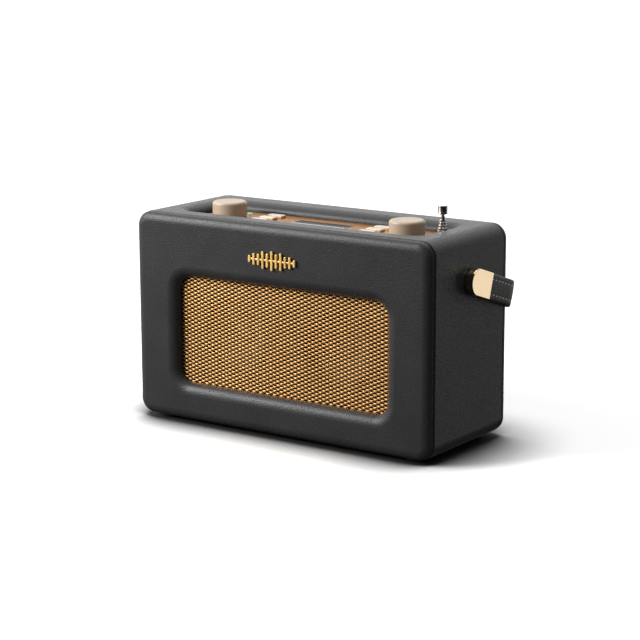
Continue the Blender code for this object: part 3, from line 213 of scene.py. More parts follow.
def soften(bm, width, edges=None, segments=3, angle=30):
    """Rounds the given edges, or each edge that is sharper than an angle."""
    if edges is None:
        limit = math.radians(angle)
        bm.normal_update()
        edges = [edge for edge in bm.edges if len(edge.link_faces) == 2 and edge.calc_face_angle() > limit]
    style = {"profile": 0.5, "affect": "EDGES", "material": -1, "clamp_overlap": True}
    bmesh.ops.bevel(bm, geom=edges, offset=width, segments=segments, **style)


def bar(size, centre=(0, 0, 0), axis=2, radius=0.0, steps=CORNER_STEPS):
    """A block with the four edges along one axis rounded."""
    bm = bmesh.new()
    bmesh.ops.create_cube(bm, size=1.0)
    bmesh.ops.scale(bm, vec=size, verts=bm.verts)
    if radius > 0:
        along = [edge for edge in bm.edges if abs((edge.verts[1].co - edge.verts[0].co)[axis]) > MERGE]
        soften(bm, radius, along, steps)
    return placed(bm, shift=centre)


def turned(profile, centre=(0, 0, 0), turn=None, closed=False, steps=TURN_STEPS):
    """A full turn of a profile of (radius, height) points round Z, then turned and put in place."""
    bm = bmesh.new()
    verts = [bm.verts.new((radius, 0, height)) for radius, height in profile]
    edges = [bm.edges.new(pair) for pair in zip(verts, verts[1:])]
    if closed:
        edges.append(bm.edges.new((verts[-1], verts[0])))
    turn_all = {"cent": (0, 0, 0), "axis": (0, 0, 1), "angle": 2 * math.pi, "use_merge": True}
    bmesh.ops.spin(bm, geom=verts + edges, steps=steps, **turn_all)
    bmesh.ops.remove_doubles(bm, verts=bm.verts, dist=MERGE)
    return placed(bm, turn, centre)


def rounded_profile(points, radius, steps=4):
    """A (radius, height) profile with each corner between its ends rounded."""
    made = [Vector(points[0])]
    for before, here, after in zip(points, points[1:], points[2:]):
        here = Vector(here)
        back, ahead = Vector(before) - here, Vector(after) - here
        reach = min(radius, back.length / 2.01, ahead.length / 2.01)
        start, end = here + back.normalized() * reach, here + ahead.normalized() * reach
        for index in range(steps + 1):
            share = index / steps
            made.append(start.lerp(here, share).lerp(here.lerp(end, share), share))
    made.append(Vector(points[-1]))
    return [(point.x, point.y) for point in made]


def combined(bm, other, operation="DIFFERENCE"):
    """The result of a boolean between two bmeshes. Both are used up."""
    pair = []
    for source in (bm, other):
        bmesh.ops.recalc_face_normals(source, faces=source.faces)
        mesh = bpy.data.meshes.new("joining")
        source.to_mesh(mesh)
        source.free()
        thing = bpy.data.objects.new("joining", mesh)
        bpy.context.scene.collection.objects.link(thing)
        pair.append(thing)
    step = pair[0].modifiers.new("join", "BOOLEAN")
    step.operation = operation
    step.solver = "EXACT"
    step.object = pair[1]
    bpy.context.view_layer.update()
    result = bmesh.new()
    result.from_object(pair[0], bpy.context.evaluated_depsgraph_get())
    for thing in pair:
        mesh = thing.data
        bpy.data.objects.remove(thing)
        bpy.data.meshes.remove(mesh)
    return result


def placed(bm, turn=None, shift=(0, 0, 0)):
    """Turns a whole shape about the origin, then moves it."""
    if turn:
        bmesh.ops.rotate(bm, cent=(0, 0, 0), matrix=turn, verts=bm.verts)
    bmesh.ops.translate(bm, vec=shift, verts=bm.verts)
    return bm


def absorb(bm, other):
    """Adds the faces of another bmesh as they are."""
    mesh = bpy.data.meshes.new("absorbed")
    other.to_mesh(mesh)
    other.free()
    bm.from_mesh(mesh)
    bpy.data.meshes.remove(mesh)


def piece(name, bm, material, body, replaced=(), sharp=35, flat_faces=True):
    """Makes a finished piece that rides on a body and may stand for frame nodes."""
    bmesh.ops.recalc_face_normals(bm, faces=bm.faces)
    mesh = bpy.data.meshes.new(name)
    bm.to_mesh(mesh)
    bm.free()
    mesh.shade_smooth()
    mesh.set_sharp_from_angle(angle=math.radians(sharp))
    mesh.materials.append(material)
    made = bpy.data.objects.new(name, mesh)
    bpy.context.scene.collection.objects.link(made)
    if flat_faces:
        step = made.modifiers.new("flat faces", "WEIGHTED_NORMAL")
        step.keep_sharp = True
    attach(made, body)
    if replaced:
        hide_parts(*replaced)


# ---------------------------------------------------------------- materials


class Finish:
    """A material's node tree, with short ways to add what a finish needs."""

    def __init__(self, name, colour, roughness, metallic=0.0, **values):
        self.material = bpy.data.materials.new(name)
        self.material.use_nodes = True
        self.tree = self.material.node_tree
        self.shader = self.tree.nodes["Principled BSDF"]
        self.colour = colour
        self.set(self.shader, {"Base Color": (*colour, 1.0), "Roughness": roughness, "Metallic": metallic})
        self.set(self.shader, values)
        self.coords = self.tree.nodes.new("ShaderNodeTexCoord").outputs["Object"]

    def set(self, node, values):
        for name, value in values.items():
            node.inputs[name].default_value = value

    def node(self, kind, values=None, links=None, **settings):
        made = self.tree.nodes.new(kind)
        for name, value in settings.items():
            setattr(made, name, value)
        self.set(made, values or {})
        for name, source in (links or {}).items():
            self.tree.links.new(source, made.inputs[name])
        return made

    def link(self, source, socket):
        self.tree.links.new(source, self.shader.inputs[socket])

    def mapped(self, scale=(1, 1, 1), turn=(0, 0, 0), shift=(0, 0, 0)):
        values = {"Scale": scale, "Rotation": turn, "Location": shift}
        return self.node("ShaderNodeMapping", values, {"Vector": self.coords}).outputs["Vector"]

    def noise(self, size, detail=3.0, coords=None, roughness=0.5):
        """Noise whose blobs are about the given size in metres."""
        values = {"Scale": 1 / size, "Detail": detail, "Roughness": roughness}
        return self.node("ShaderNodeTexNoise", values, {"Vector": coords or self.coords}).outputs["Fac"]

    def cells(self, size, coords=None, feature="SMOOTH_F1", randomness=1.0):
        """Cell pattern whose cells are about the given size in metres."""
        values = {"Scale": 1 / size, "Randomness": randomness}
        made = self.node("ShaderNodeTexVoronoi", values, {"Vector": coords or self.coords}, feature=feature)
        return made.outputs["Distance"]

    def spread(self, value, low, high, from_low=0.3, from_high=0.7):
        """A value moved from one range to another."""
        values = {"From Min": from_low, "From Max": from_high, "To Min": low, "To Max": high}
        return self.node("ShaderNodeMapRange", values, {"Value": value}).outputs["Result"]

    def tint(self, value, first, second, from_low=0.3, from_high=0.7):
        """A colour that goes from one to another as the value rises."""
        ramp = self.node("ShaderNodeValToRGB", links={"Fac": value})
        for stop, place, colour in zip(ramp.color_ramp.elements, (from_low, from_high), (first, second)):
            stop.position = place
            stop.color = (*colour, 1.0)
        return ramp.outputs["Color"]

    def mix(self, share, first, second, blend="MIX"):
        made = self.node("ShaderNodeMix", data_type="RGBA", blend_type=blend)
        for socket, source in ((0, share), (6, first), (7, second)):
            if isinstance(source, (int, float)):
                made.inputs[socket].default_value = source
            elif isinstance(source, tuple):
                made.inputs[socket].default_value = (*source, 1.0)
            else:
                self.tree.links.new(source, made.inputs[socket])
        return made.outputs[2]

    def bump(self, height, depth, strength=1.0, under=None):
        links = {"Height": height}
        if under:
            links["Normal"] = under
        made = self.node("ShaderNodeBump", {"Distance": depth, "Strength": strength}, links)
        return made.outputs["Normal"]

    def math(self, operation, first, second):
        made = self.node("ShaderNodeMath", operation=operation)
        for socket, source in enumerate((first, second)):
            if isinstance(source, (int, float)):
                made.inputs[socket].default_value = source
            else:
                self.tree.links.new(source, made.inputs[socket])
        return made.outputs["Value"]


def shade(colour, factor):
    return tuple(min(1.0, channel * factor) for channel in colour)


def leathercloth(name, colour, grain, depth, roughness, squeeze=(1.0, 1.0, 1.9)):
    """Embossed leathercloth: soft pebbles between creases darkened with painted shade, with slow changes in tone
    and gloss.
    """
    finish = Finish(name, colour, roughness, **{"Specular IOR Level": CLOTH_SHEEN})
    warped = finish.mapped(scale=squeeze)
    wander = finish.node(
        "ShaderNodeTexNoise", {"Scale": 0.5 / grain, "Detail": 2.0}, {"Vector": warped}
    ).outputs["Color"]
    drift = finish.node(
        "ShaderNodeVectorMath", {"Scale": grain * 1.4}, {0: wander}, operation="SCALE"
    ).outputs[0]
    moved = finish.node("ShaderNodeVectorMath", links={0: warped, 1: drift}, operation="ADD").outputs[0]
    pebbles = finish.cells(grain, moved)
    fine = finish.noise(grain / 5, 2.0)
    slow = finish.noise(0.03, 3.0)
    crease = finish.spread(pebbles, 0.0, 1.0, 0.25, 0.75)
    tone = finish.tint(slow, shade(colour, 0.86), shade(colour, 1.12))
    # Painted shade: the creases between pebbles are darkened to 0.72 of the colour
    finish.link(finish.mix(crease, tone, shade(colour, 0.72)), "Base Color")
    gloss = finish.math("ADD", slow, crease)
    finish.link(finish.spread(gloss, roughness - 0.06, roughness + 0.1, 0.4, 1.6), "Roughness")
    under = finish.bump(finish.math("MULTIPLY", crease, -1.0), depth)
    finish.link(finish.bump(fine, depth * 0.25, 0.6, under), "Normal")
    return finish.material


def satin_metal(name, colour, roughness, grain=0.004, scratch=0.00001, metallic=1.0):
    """Plated metal with slow changes in gloss and fine wear."""
    finish = Finish(name, colour, roughness, metallic)
    slow = finish.noise(grain, 3.0)
    fine = finish.noise(0.0005, 3.0)
    finish.link(finish.tint(slow, shade(colour, 0.93), shade(colour, 1.05)), "Base Color")
    gloss = finish.math("ADD", slow, fine)
    finish.link(finish.spread(gloss, roughness * 0.75, roughness * 1.3, 0.7, 1.3), "Roughness")
    finish.link(finish.bump(fine, scratch, 0.5), "Normal")
    return finish.material


def pressed_mesh(colour, roughness):
    """Gilt expanded metal, with a painted highlight on its raised dots and painted shade in the webs between them.
    """
    finish = Finish("gold_mesh", colour, roughness, 0.85)
    middle, size = corners("grille_mesh")
    depth = finish.node("ShaderNodeSeparateXYZ", links={"Vector": finish.coords}).outputs["Y"]
    # Painted light: the raised dots take a pale painted highlight, and the low webs take painted shade at 0.62 of
    # the metal's colour
    raised = finish.spread(depth, 0.0, 1.0, middle.y - 0.08 * size.y, middle.y - 0.40 * size.y)
    worn = finish.spread(finish.noise(0.03, 2.0), 0.93, 1.05)
    toned = finish.mix(raised, shade(colour, 0.62), PAINTED_DOT_HIGHLIGHT)
    finish.link(finish.mix(1.0, toned, worn, "MULTIPLY"), "Base Color")
    finish.link(finish.spread(finish.noise(0.0006, 3.0), roughness - 0.05, roughness + 0.07), "Roughness")
    return finish.material


def brushed_metal(name, colour, roughness, metallic):
    """Metal brushed along X under a clear lacquer."""
    finish = Finish(name, colour, roughness, metallic, **{"Coat Weight": 0.12, "Coat Roughness": 0.15})
    lines = finish.noise(0.0006, 4.0, finish.mapped(scale=(0.02, 1.0, 1.0)))
    slow = finish.noise(0.02, 2.0)
    toned = finish.tint(lines, shade(colour, 0.8), shade(colour, 1.15))
    finish.link(finish.mix(finish.spread(slow, 0.0, 0.35), toned, shade(colour, 0.85)), "Base Color")
    finish.link(finish.spread(lines, roughness - 0.08, roughness + 0.12), "Roughness")
    finish.link(finish.bump(lines, 0.00002, 0.6), "Normal")
    return finish.material


def moulded_plastic(name, colour, roughness, spark=0.00003, size=0.0005, **values):
    """Moulded plastic with a fine eroded texture."""
    finish = Finish(name, colour, roughness, **values)
    texture = finish.noise(size, 3.0)
    slow = finish.noise(0.012, 2.0)
    finish.link(finish.tint(slow, shade(colour, 0.94), shade(colour, 1.05)), "Base Color")
    finish.link(finish.spread(slow, roughness - 0.04, roughness + 0.05), "Roughness")
    finish.link(finish.bump(texture, spark, 0.7), "Normal")
    return finish.material


def board_material():
    """Solder-masked board with its tracks."""
    finish = Finish("circuit_board", (0.02, 0.12, 0.06), 0.4)
    pattern = {"Scale": 140.0, "Mortar Size": 0.06}
    tracks = finish.node("ShaderNodeTexBrick", pattern, {"Vector": finish.coords}).outputs["Fac"]
    finish.link(finish.mix(tracks, (0.015, 0.10, 0.045), (0.04, 0.22, 0.09)), "Base Color")
    finish.link(finish.bump(tracks, 0.00004), "Normal")
    return finish.material


def cell_jacket():
    """Printed jacket of a battery cell: dark, with a copper band near its cap."""
    finish = Finish("cell_jacket", (0.05, 0.05, 0.06), 0.35, 0.3)
    bands = {"Scale": 5.1, "Distortion": 0.0}
    wave = finish.node("ShaderNodeTexWave", bands, {"Vector": finish.coords}, bands_direction="X")
    banded = finish.tint(wave.outputs["Fac"], (0.03, 0.03, 0.035), (0.55, 0.28, 0.08), 0.78, 0.8)
    finish.link(banded, "Base Color")
    finish.link(finish.spread(finish.noise(0.004), 0.28, 0.42), "Roughness")
    return finish.material


def paper_cone():
    """Pressed paper with fibres."""
    finish = Finish("paper_cone", (0.06, 0.055, 0.05), 0.85)
    fibre = finish.noise(0.0012, 4.0)
    finish.link(finish.tint(fibre, (0.04, 0.037, 0.034), (0.085, 0.08, 0.074)), "Base Color")
    finish.link(finish.bump(fibre, 0.0002), "Normal")
    return finish.material


def key_plastic(colour):
    """Cream keys whose flanks carry a painted amber reflection of the copper panel, strongest toward the panel."""
    finish = Finish("cream_key", colour, 0.32)
    level = finish.node("ShaderNodeSeparateXYZ", links={"Vector": finish.coords}).outputs["Z"]
    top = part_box("left_button_1")[1].z
    panel_light_mask = finish.spread(level, 0.0, 1.0, top - 1.5 * MM, top - 0.35 * MM)
    speck = finish.spread(finish.noise(0.0006, 2.0), 0.96, 1.04)
    pale = finish.mix(1.0, colour, speck, "MULTIPLY")
    # Painted reflection: the flanks turn amber toward the copper panel, standing in for light thrown up from it
    finish.link(finish.mix(panel_light_mask, (0.62, 0.34, 0.10), pale), "Base Color")
    finish.link(finish.spread(finish.noise(0.004, 2.0), 0.27, 0.38), "Roughness")
    return finish.material


def painted_board():
    """Fibreboard painted matt black where it shows behind the grille."""
    finish = Finish("painted_board", (0.012, 0.011, 0.010), 0.8)
    fibre = finish.noise(0.0008, 4.0)
    finish.link(finish.tint(fibre, (0.008, 0.008, 0.008), (0.02, 0.018, 0.016)), "Base Color")
    finish.link(finish.bump(fibre, 0.0001), "Normal")
    return finish.material


def glossy_glass(name, colour):
    """Dark polished window with a little dust in its gloss."""
    finish = Finish(name, colour, 0.06, **{"Coat Weight": 1.0, "Coat Roughness": 0.03})
    dust = finish.noise(0.002, 4.0)
    finish.link(finish.tint(dust, shade(colour, 0.8), shade(colour, 1.4)), "Base Color")
    finish.link(finish.spread(dust, 0.04, 0.10), "Roughness")
    return finish.material


def lamp_lens():
    """Clear green lens, faintly lit from under."""
    finish = Finish("lamp_lens", (0.05, 0.62, 0.42), 0.18, **{"Emission Strength": 0.35})
    finish.shader.inputs["Emission Color"].default_value = (0.05, 0.75, 0.5, 1.0)
    glow = finish.noise(0.0015, 2.0)
    finish.link(finish.tint(glow, (0.04, 0.52, 0.36), (0.08, 0.72, 0.5)), "Base Color")
    return finish.material


def printed_ink():
    """Black ink printed on the control panel, a little worn."""
    finish = Finish("printed_ink", (0.02, 0.016, 0.012), 0.5)
    wear = finish.noise(0.0008, 3.0)
    finish.link(finish.tint(wear, (0.015, 0.012, 0.01), (0.05, 0.035, 0.02)), "Base Color")
    return finish.material


def stitching_thread():
    """Twisted waxed thread."""
    finish = Finish("stitching_thread", (0.62, 0.60, 0.56), 0.6)
    twist = finish.noise(0.0004, 2.0)
    finish.link(finish.tint(twist, (0.70, 0.67, 0.62), (0.92, 0.90, 0.85)), "Base Color")
    finish.link(finish.bump(twist, 0.0001), "Normal")
    return finish.material


def studio_floor(colour, gain, shadow_reach, bounce):
    """A pale floor with a painted contact shadow where the radio meets it, that throws little light back."""
    finish = Finish("studio_floor", colour, 0.9)
    mottle = finish.noise(0.4, 2.0)
    pale = finish.tint(mottle, shade(colour, 0.99), colour)
    # Painted contact shadow: ambient occlusion near the radio darkens the floor's colour
    openness = finish.node("ShaderNodeAmbientOcclusion", {"Distance": shadow_reach}).outputs["AO"]
    pale = finish.mix(1.0, pale, finish.spread(openness, 0.0, gain, 0.52, 1.0), "MULTIPLY")
    seen = finish.node("ShaderNodeLightPath").outputs["Is Camera Ray"]
    finish.link(finish.mix(seen, (bounce,) * 3, pale), "Base Color")
    return finish.material


FINISHES = {}


def finish_of(slot):
    """The material of one slot, made the first time that it is asked for."""
    looks = bpy.context.scene.radio_looks
    makers = {
        "leathercloth": lambda: leathercloth(
            "leathercloth", tuple(looks.cloth_colour), looks.grain_size, looks.grain_depth, 0.38
        ),
        "strap_leather": lambda: leathercloth(
            "strap_leather", tuple(looks.strap_colour), looks.grain_size * 0.6, looks.grain_depth * 0.7, 0.4
        ),
        "tan_piping": lambda: leathercloth("tan_piping", (0.045, 0.026, 0.016), 0.0008, 0.00005, 0.55),
        "gold_mesh": lambda: pressed_mesh(tuple(looks.mesh_colour), 0.42),
        "badge_gold": lambda: satin_metal(
            "badge_gold", tuple(looks.badge_colour), 0.40, 0.004, 0.000002, metallic=0.75
        ),
        "copper_panel": lambda: brushed_metal("copper_panel", tuple(looks.panel_colour), 0.38, 0.95),
        "black_plastic": lambda: moulded_plastic("black_plastic", (0.018, 0.018, 0.018), 0.45),
        "display_glass": lambda: glossy_glass("display_glass", (0.008, 0.008, 0.010)),
        "lamp_green": lamp_lens,
        "beige_knob": lambda: moulded_plastic("beige_knob", tuple(looks.knob_colour), 0.42, 0.00001),
        "cream_key": lambda: key_plastic(tuple(looks.key_colour)),
        "chrome": lambda: satin_metal("chrome", (0.82, 0.82, 0.82), 0.17, scratch=0.000003),
        "brass": lambda: satin_metal("brass", tuple(looks.brass_colour), 0.12, 0.012, 0.0000008),
        "rubber": lambda: moulded_plastic("rubber", (0.02, 0.02, 0.02), 0.75, 0.0001),
        "green_board": board_material,
        "steel": lambda: satin_metal("steel", (0.5, 0.5, 0.5), 0.32),
        "paper_cone": paper_cone,
        "cell_jacket": cell_jacket,
        "wood": painted_board,
        "ink": printed_ink,
        "thread": stitching_thread,
    }
    if slot not in FINISHES:
        FINISHES[slot] = makers[slot]()
    return FINISHES[slot]


# ---------------------------------------------------------------- cabinet


def upright(bm, y):
    """Turns a shape drawn in XY with its front on +Z so that it stands in XZ and faces -Y."""
    placed(bm, Matrix.Rotation(QUARTER_TURN, 3, "X"), (0, y, 0))


def make_front_face():
    """The padded front: its outer edge rolls back, and the grille opening's lip rolls in."""
    middle, size = corners("front_panel")
    grille_middle, grille_size = corners("grille_mesh")
    rolled, rise = FRONT_ROLL
    window = (grille_size.x - 2 * GRILLE_LAP[0], grille_size.z - 2 * GRILLE_LAP[1])
    window_centre = (0, grille_middle.z)
    hollow = corners("speaker_baffle")[1]
    bm = bmesh.new()
    loops = []

    def ring(width, height, corner, centre, level, outset=0.0):
        outline = (width + 2 * outset, height + 2 * outset, corner + outset)
        loops.append(rounded_loop(bm, *outline, centre, level))

    centre = (0, middle.z)
    chamfer = 0.5 * MM
    ring(size.x, size.z, PANEL_CORNER_RADIUS, centre, -FRONT_FLANGE, -chamfer)
    ring(size.x, size.z, PANEL_CORNER_RADIUS, centre, -FRONT_FLANGE + chamfer)
    for inset, lift in quarter(rolled, rise):
        ring(size.x, size.z, PANEL_CORNER_RADIUS, centre, lift - rise, -inset)
    across, drop = GRILLE_ROLL
    for outset, lift in reversed(quarter(across, drop)):
        ring(*window, GRILLE_CORNER, window_centre, lift - drop, outset)
    ring(*window, GRILLE_CORNER, window_centre, -size.y)
    ring(hollow.x, hollow.z, HOLLOW_CORNER, centre, -size.y)
    ring(hollow.x, hollow.z, HOLLOW_CORNER, centre, -FRONT_FLANGE)
    skin(bm, loops, closed=True)
    upright(bm, middle.y - size.y / 2)
    cloth = finish_of("leathercloth")
    piece("front_face", bm, cloth, "cabinet", ["front_panel"], sharp=50)


def make_piping():
    """The narrow bead between each panel and the body."""
    corner = CORNER_RADIUS - PIPING_SINK
    turns = [math.pi * index / BEAD_STEPS for index in range(BEAD_STEPS + 1)]
    for side in ("front", "back"):
        middle, size = corners(f"{side}_piping")
        half = size.y / 2
        bm = bmesh.new()
        outline = [(half * (1 - math.sin(turn)), half * math.cos(turn)) for turn in turns]
        outline += [(PIPING_BREADTH, -half), (PIPING_BREADTH, half)]
        loops = [
            rounded_loop(bm, size.x - 2 * inset, size.z - 2 * inset, corner - inset, (0, middle.z), level)
            for inset, level in outline
        ]
        skin(bm, loops, closed=True)
        upright(bm, middle.y)
        piece(f"{side}_bead", bm, finish_of("tan_piping"), "cabinet", [f"{side}_piping"])


def rounded_sleeve(width, height, corner, middle, length):
    """A solid with a rounded outline that runs along Y."""
    return bar((width, length, height), middle, 1, corner)


def recess_cutter(offset, depth):
    """The shape of the control recess with its rolled lip, widened by an offset."""
    middle, size = corners("control_panel")
    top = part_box("cabinet_cover")[1].z - offset
    width, length = (side + 2 * (CLEAR + offset) for side in size.xy)
    corner = RECESS_CORNER + offset
    across, drop = (reach - offset for reach in RECESS_ROLL)
    bm = bmesh.new()

    def loop(outset, level):
        outline = (width + 2 * outset, length + 2 * outset, corner + outset)
        return rounded_loop(bm, *outline, middle.xy, level)

    loops = [loop(across, top + 5 * MM)]
    for inset, lift in reversed(quarter(across, drop)):
        loops.append(loop(inset, top - drop + lift))
    loops.append(loop(0, top - depth))
    skin(bm, loops)
    cap(bm, loops[0])
    cap(bm, loops[-1])
    return bm


def make_body_cover():
    """The leathercloth round the body, turned in at both ends and rolled down into the recess."""
    middle, size = corners("cabinet_cover")
    bm = rounded_sleeve(size.x, size.z, CORNER_RADIUS, middle, size.y)
    bm.normal_update()
    ends = [edge for edge in bm.edges if edge.calc_face_angle(0) > math.radians(60)]
    soften(bm, COVER_TURN, ends, 4)
    thick = COVER_THICKNESS
    inner = rounded_sleeve(
        size.x - 2 * thick, size.z - 2 * thick, CORNER_RADIUS - thick, middle, size.y + 10 * MM
    )
    inner = combined(inner, recess_cutter(COVER_THICKNESS, SLEEVE_SKIN))
    bm = combined(bm, recess_cutter(0.0, RECESS_LIP_DEPTH))
    bm = combined(bm, inner)
    cloth = finish_of("leathercloth")
    piece("body_cover", bm, cloth, "cabinet", ["cabinet_cover"], sharp=50)


def make_grille():
    """Expanded metal: diamond cells, each round a lens-shaped hole, with a raised dot at each crossing."""
    looks = bpy.context.scene.radio_grille
    middle, size = corners("grille_mesh")
    across, up = looks.column_pitch, looks.row_pitch / 2
    hole = (looks.hole_width / 2, looks.hole_height / 2)
    tips = [Vector((across, 0)), Vector((0, up)), Vector((-across, 0)), Vector((0, -up))]
    bm = bmesh.new()

    def diamond(index):
        """The point of a cell's outline that belongs to a step round its hole."""
        side, step = divmod(index, CELL_STEPS)
        return tips[side].lerp(tips[(side + 1) % 4], (0.0, 0.3, 0.7)[step])

    def lens(index):
        angle = QUARTER_TURN * index / CELL_STEPS
        rise = math.copysign(abs(math.sin(angle)) ** LENS_POWER, math.sin(angle))
        return Vector((hole[0] * math.cos(angle), hole[1] * rise))

    def shoulder(index):
        return lens(index).lerp(diamond(index), 0.42)

    def relief(point):
        """Height of the front above its lowest level, from the nearest crossing."""
        near = min((point - tip).length for tip in tips)
        return size.y * (0.30 + 0.55 * math.exp(-((near / looks.dot_radius) ** 2)))

    def ring(shape, level):
        """One ring of a cell, at a level that may follow the relief."""
        verts = bmesh.ops.create_circle(bm, cap_ends=False, segments=4 * CELL_STEPS, radius=1.0)["verts"]
        for index, vert in enumerate(verts):
            point = shape(index)
            vert.co = Vector((point.x, point.y, level(point)))
        return edges_between(verts)

    rings = [
        ring(diamond, lambda point: -0.25 * size.y),
        ring(lens, lambda point: -0.25 * size.y),
        ring(lens, lambda point: 0.12 * size.y),
        ring(shoulder, lambda point: 0.8 * relief(point) - 0.1 * size.y),
        ring(diamond, lambda point: relief(point) - 0.37 * size.y),
    ]
    skin(bm, rings)
    columns = int((size.x - 2 * MM) / (2 * across))
    rows = int((size.z - 2 * MM) / (2 * up))
    for count, step in ((2, (across, up, 0)), (columns, (2 * across, 0, 0)), (rows, (0, 2 * up, 0))):
        unit = bm.verts[:] + bm.edges[:] + bm.faces[:]
        for index in range(1, count):
            copied = bmesh.ops.duplicate(bm, geom=unit)["geom"]
            moved = [item for item in copied if isinstance(item, bmesh.types.BMVert)]
            bmesh.ops.translate(bm, vec=Vector(step) * index, verts=moved)
    bmesh.ops.remove_doubles(bm, verts=bm.verts, dist=0.02 * MM)
    rim = [edge for edge in bm.edges if len(edge.link_faces) == 1]
    bmesh.ops.bridge_loops(bm, edges=rim)
    middle_x = sum(vert.co.x for vert in bm.verts) / len(bm.verts)
    middle_y = sum(vert.co.y for vert in bm.verts) / len(bm.verts)
    placed(bm, shift=(-middle_x, middle.z - middle_y, 0))
    upright(bm, middle.y)
    gold = finish_of("gold_mesh")
    piece("grille_sheet", bm, gold, "cabinet", ["grille_mesh"], sharp=70, flat_faces=False)


def make_badge():
    """A generic ornament: a row of polished bars that swells and fades along a rail."""
    middle, size = corners("badge")
    bars = 11
    pitch = size.x / (bars - 0.5)
    bar_width = pitch / 2
    swell = [
        0.30 + 0.70 * math.sin(math.pi * (index + 0.5) / bars) * (1.0 if index % 2 else 0.62)
        for index in range(bars)
    ]
    tallest = max(swell)
    bm = bmesh.new()
    for index, share in enumerate(swell):
        x = middle.x - size.x / 2 + index * pitch + bar_width / 2
        height = max(2 * MM, size.z * share / tallest)
        one = bar((bar_width, size.y, height), (x, middle.y, middle.z), 1, bar_width * 0.49, 6)
        soften(one, 0.35 * MM, None, 3, 60)
        absorb(bm, one)
    rail = bar((size.x - bar_width, size.y * 0.7, 1.3 * MM), (middle.x, middle.y + size.y * 0.15, middle.z))
    soften(rail, 0.3 * MM, None, 3, 60)
    absorb(bm, rail)
    piece("badge_ornament", bm, finish_of("badge_gold"), "cabinet", ["badge"])


def make_feet():
    """Four rubber feet with a rounded tread."""
    for row in ("front", "back"):
        for side in ("left", "right"):
            node = f"{row}_{side}_foot"
            middle, size = corners(node)
            radius, top, low = size.x / 2, middle.z + size.z / 2, middle.z - size.z / 2
            outline = [(0, top), (radius, top), (radius - 0.6 * MM, low), (radius * 0.62, low)]
            outline += [(radius * 0.55, low + 0.5 * MM), (0, low + 0.5 * MM)]
            bm = turned(rounded_profile(outline, 0.35 * MM), (middle.x, middle.y, 0), steps=SMALL_TURN_STEPS)
            piece(f"{node}_pad", bm, finish_of("rubber"), "cabinet", [node])


# ---------------------------------------------------------------- controls


def make_control_print():
    """Generic marks printed on the control panel: dial ticks, arcs of dots and short dashes."""
    panel_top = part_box("control_panel")[1].z
    ink_height = INK_THICKNESS
    bm = bmesh.new()

    def dash(x, y, length, width, turn=0.0):
        mark = bar((length, width, ink_height))
        level = panel_top + ink_height / 2 + INK_GAP
        absorb(bm, placed(mark, Matrix.Rotation(turn, 3, "Z"), (x, y, level)))

    for knob in ("volume_knob", "tuning_knob"):
        middle, size = corners(knob)
        reach = size.x / 2 + 2.6 * MM
        for index in range(DIAL_TICKS):
            angle = math.radians(-60 + 300 * index / (DIAL_TICKS - 1))
            length = 2.2 * MM if index % 5 == 0 else 1.2 * MM
            x = middle.x + reach * math.cos(angle)
            dash(x, middle.y + reach * math.sin(angle), length, 0.35 * MM, angle)
    for side, sign in (("left", 1), ("right", -1)):
        for row in range(1, 5):
            middle, size = corners(f"{side}_button_{row}")
            start = middle.x + sign * (size.x / 2 + 2.2 * MM)
            for index, length in enumerate((2.4, 1.6, 3.0)):
                dash(start + sign * 1.4 * MM + sign * index * 3.1 * MM, middle.y, length * MM, 0.55 * MM)
    display = corners("display_window")[1]
    for index in range(19):
        if index % 5 != 4:
            x = (index - 9) * 3.9 * MM
            dash(x, display.y / 2 + 5.0 * MM, 2.3 * MM, 0.6 * MM)
            dash(x, display.y / 2 + 7.2 * MM, 1.4 * MM, 0.45 * MM)
    piece("control_print", bm, finish_of("ink"), "cabinet", flat_faces=False)


def make_knobs():
    """The two turned knobs: soft shoulder, slightly dished top and a fine groove at the foot."""
    for knob, shaft, body in (
        ("volume_knob", "volume_shaft", "volume_control"),
        ("tuning_knob", "tuning_shaft", "tuning_control"),
    ):
        middle, size = corners(knob)
        radius, height = size.x / 2, size.z
        shoulder = 2.1 * MM
        bore = corners(shaft)[1].x / 2 + CLEAR
        bore_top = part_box(shaft)[1].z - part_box(knob)[0].z + CLEAR
        outline = [(0, height - 0.35 * MM), (radius * 0.45, height - 0.22 * MM)]
        outline += [
            (radius - shoulder + shoulder * math.sin(turn), height - shoulder + shoulder * math.cos(turn))
            for turn in (QUARTER_TURN * index / 12 for index in range(13))
        ]
        outline += [
            (radius, 1.5 * MM),
            (radius - 0.25 * MM, 1.3 * MM),
            (radius - 0.25 * MM, 1.0 * MM),
            (radius, 0.8 * MM),
            (radius, 0.3 * MM),
            (radius - 0.3 * MM, 0),
            (bore, 0),
            (bore, bore_top),
            (0, bore_top),
        ]
        bm = turned(outline, (middle.x, middle.y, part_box(knob)[0].z))
        piece(f"{knob}_cap", bm, finish_of("beige_knob"), body, [knob])


def make_keys():
    """Eight keys, each with rounded edges, a shallow dish for the finger and a lip below the panel."""
    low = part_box("control_panel")[0].z - CLEAR
    lip, edge = KEY_LIP, KEY_EDGE
    for side in ("left", "right"):
        for row in range(1, 5):
            node = f"{side}_button_{row}"
            middle, size = corners(node)
            top = middle.z + size.z / 2
            levels = [(-lip, low - lip), (-lip, low), (0.0, low)]
            levels += [(inset, top - edge + rise) for inset, rise in quarter(edge, edge, SMALL_CORNER_STEPS)]
            levels += [(edge + 0.6 * MM, top - 0.06 * MM), (edge + 1.2 * MM, top - 0.16 * MM)]
            width, depth = size.x - 2 * lip, size.y - 2 * lip
            bm = stacked(
                width, depth, 1.2 * MM, middle.xy, levels, SMALL_CORNER_STEPS, ease=0.5, least=0.4 * MM
            )
            piece(f"{node}_cap", bm, finish_of("cream_key"), f"{side}_key_{row}", [node])


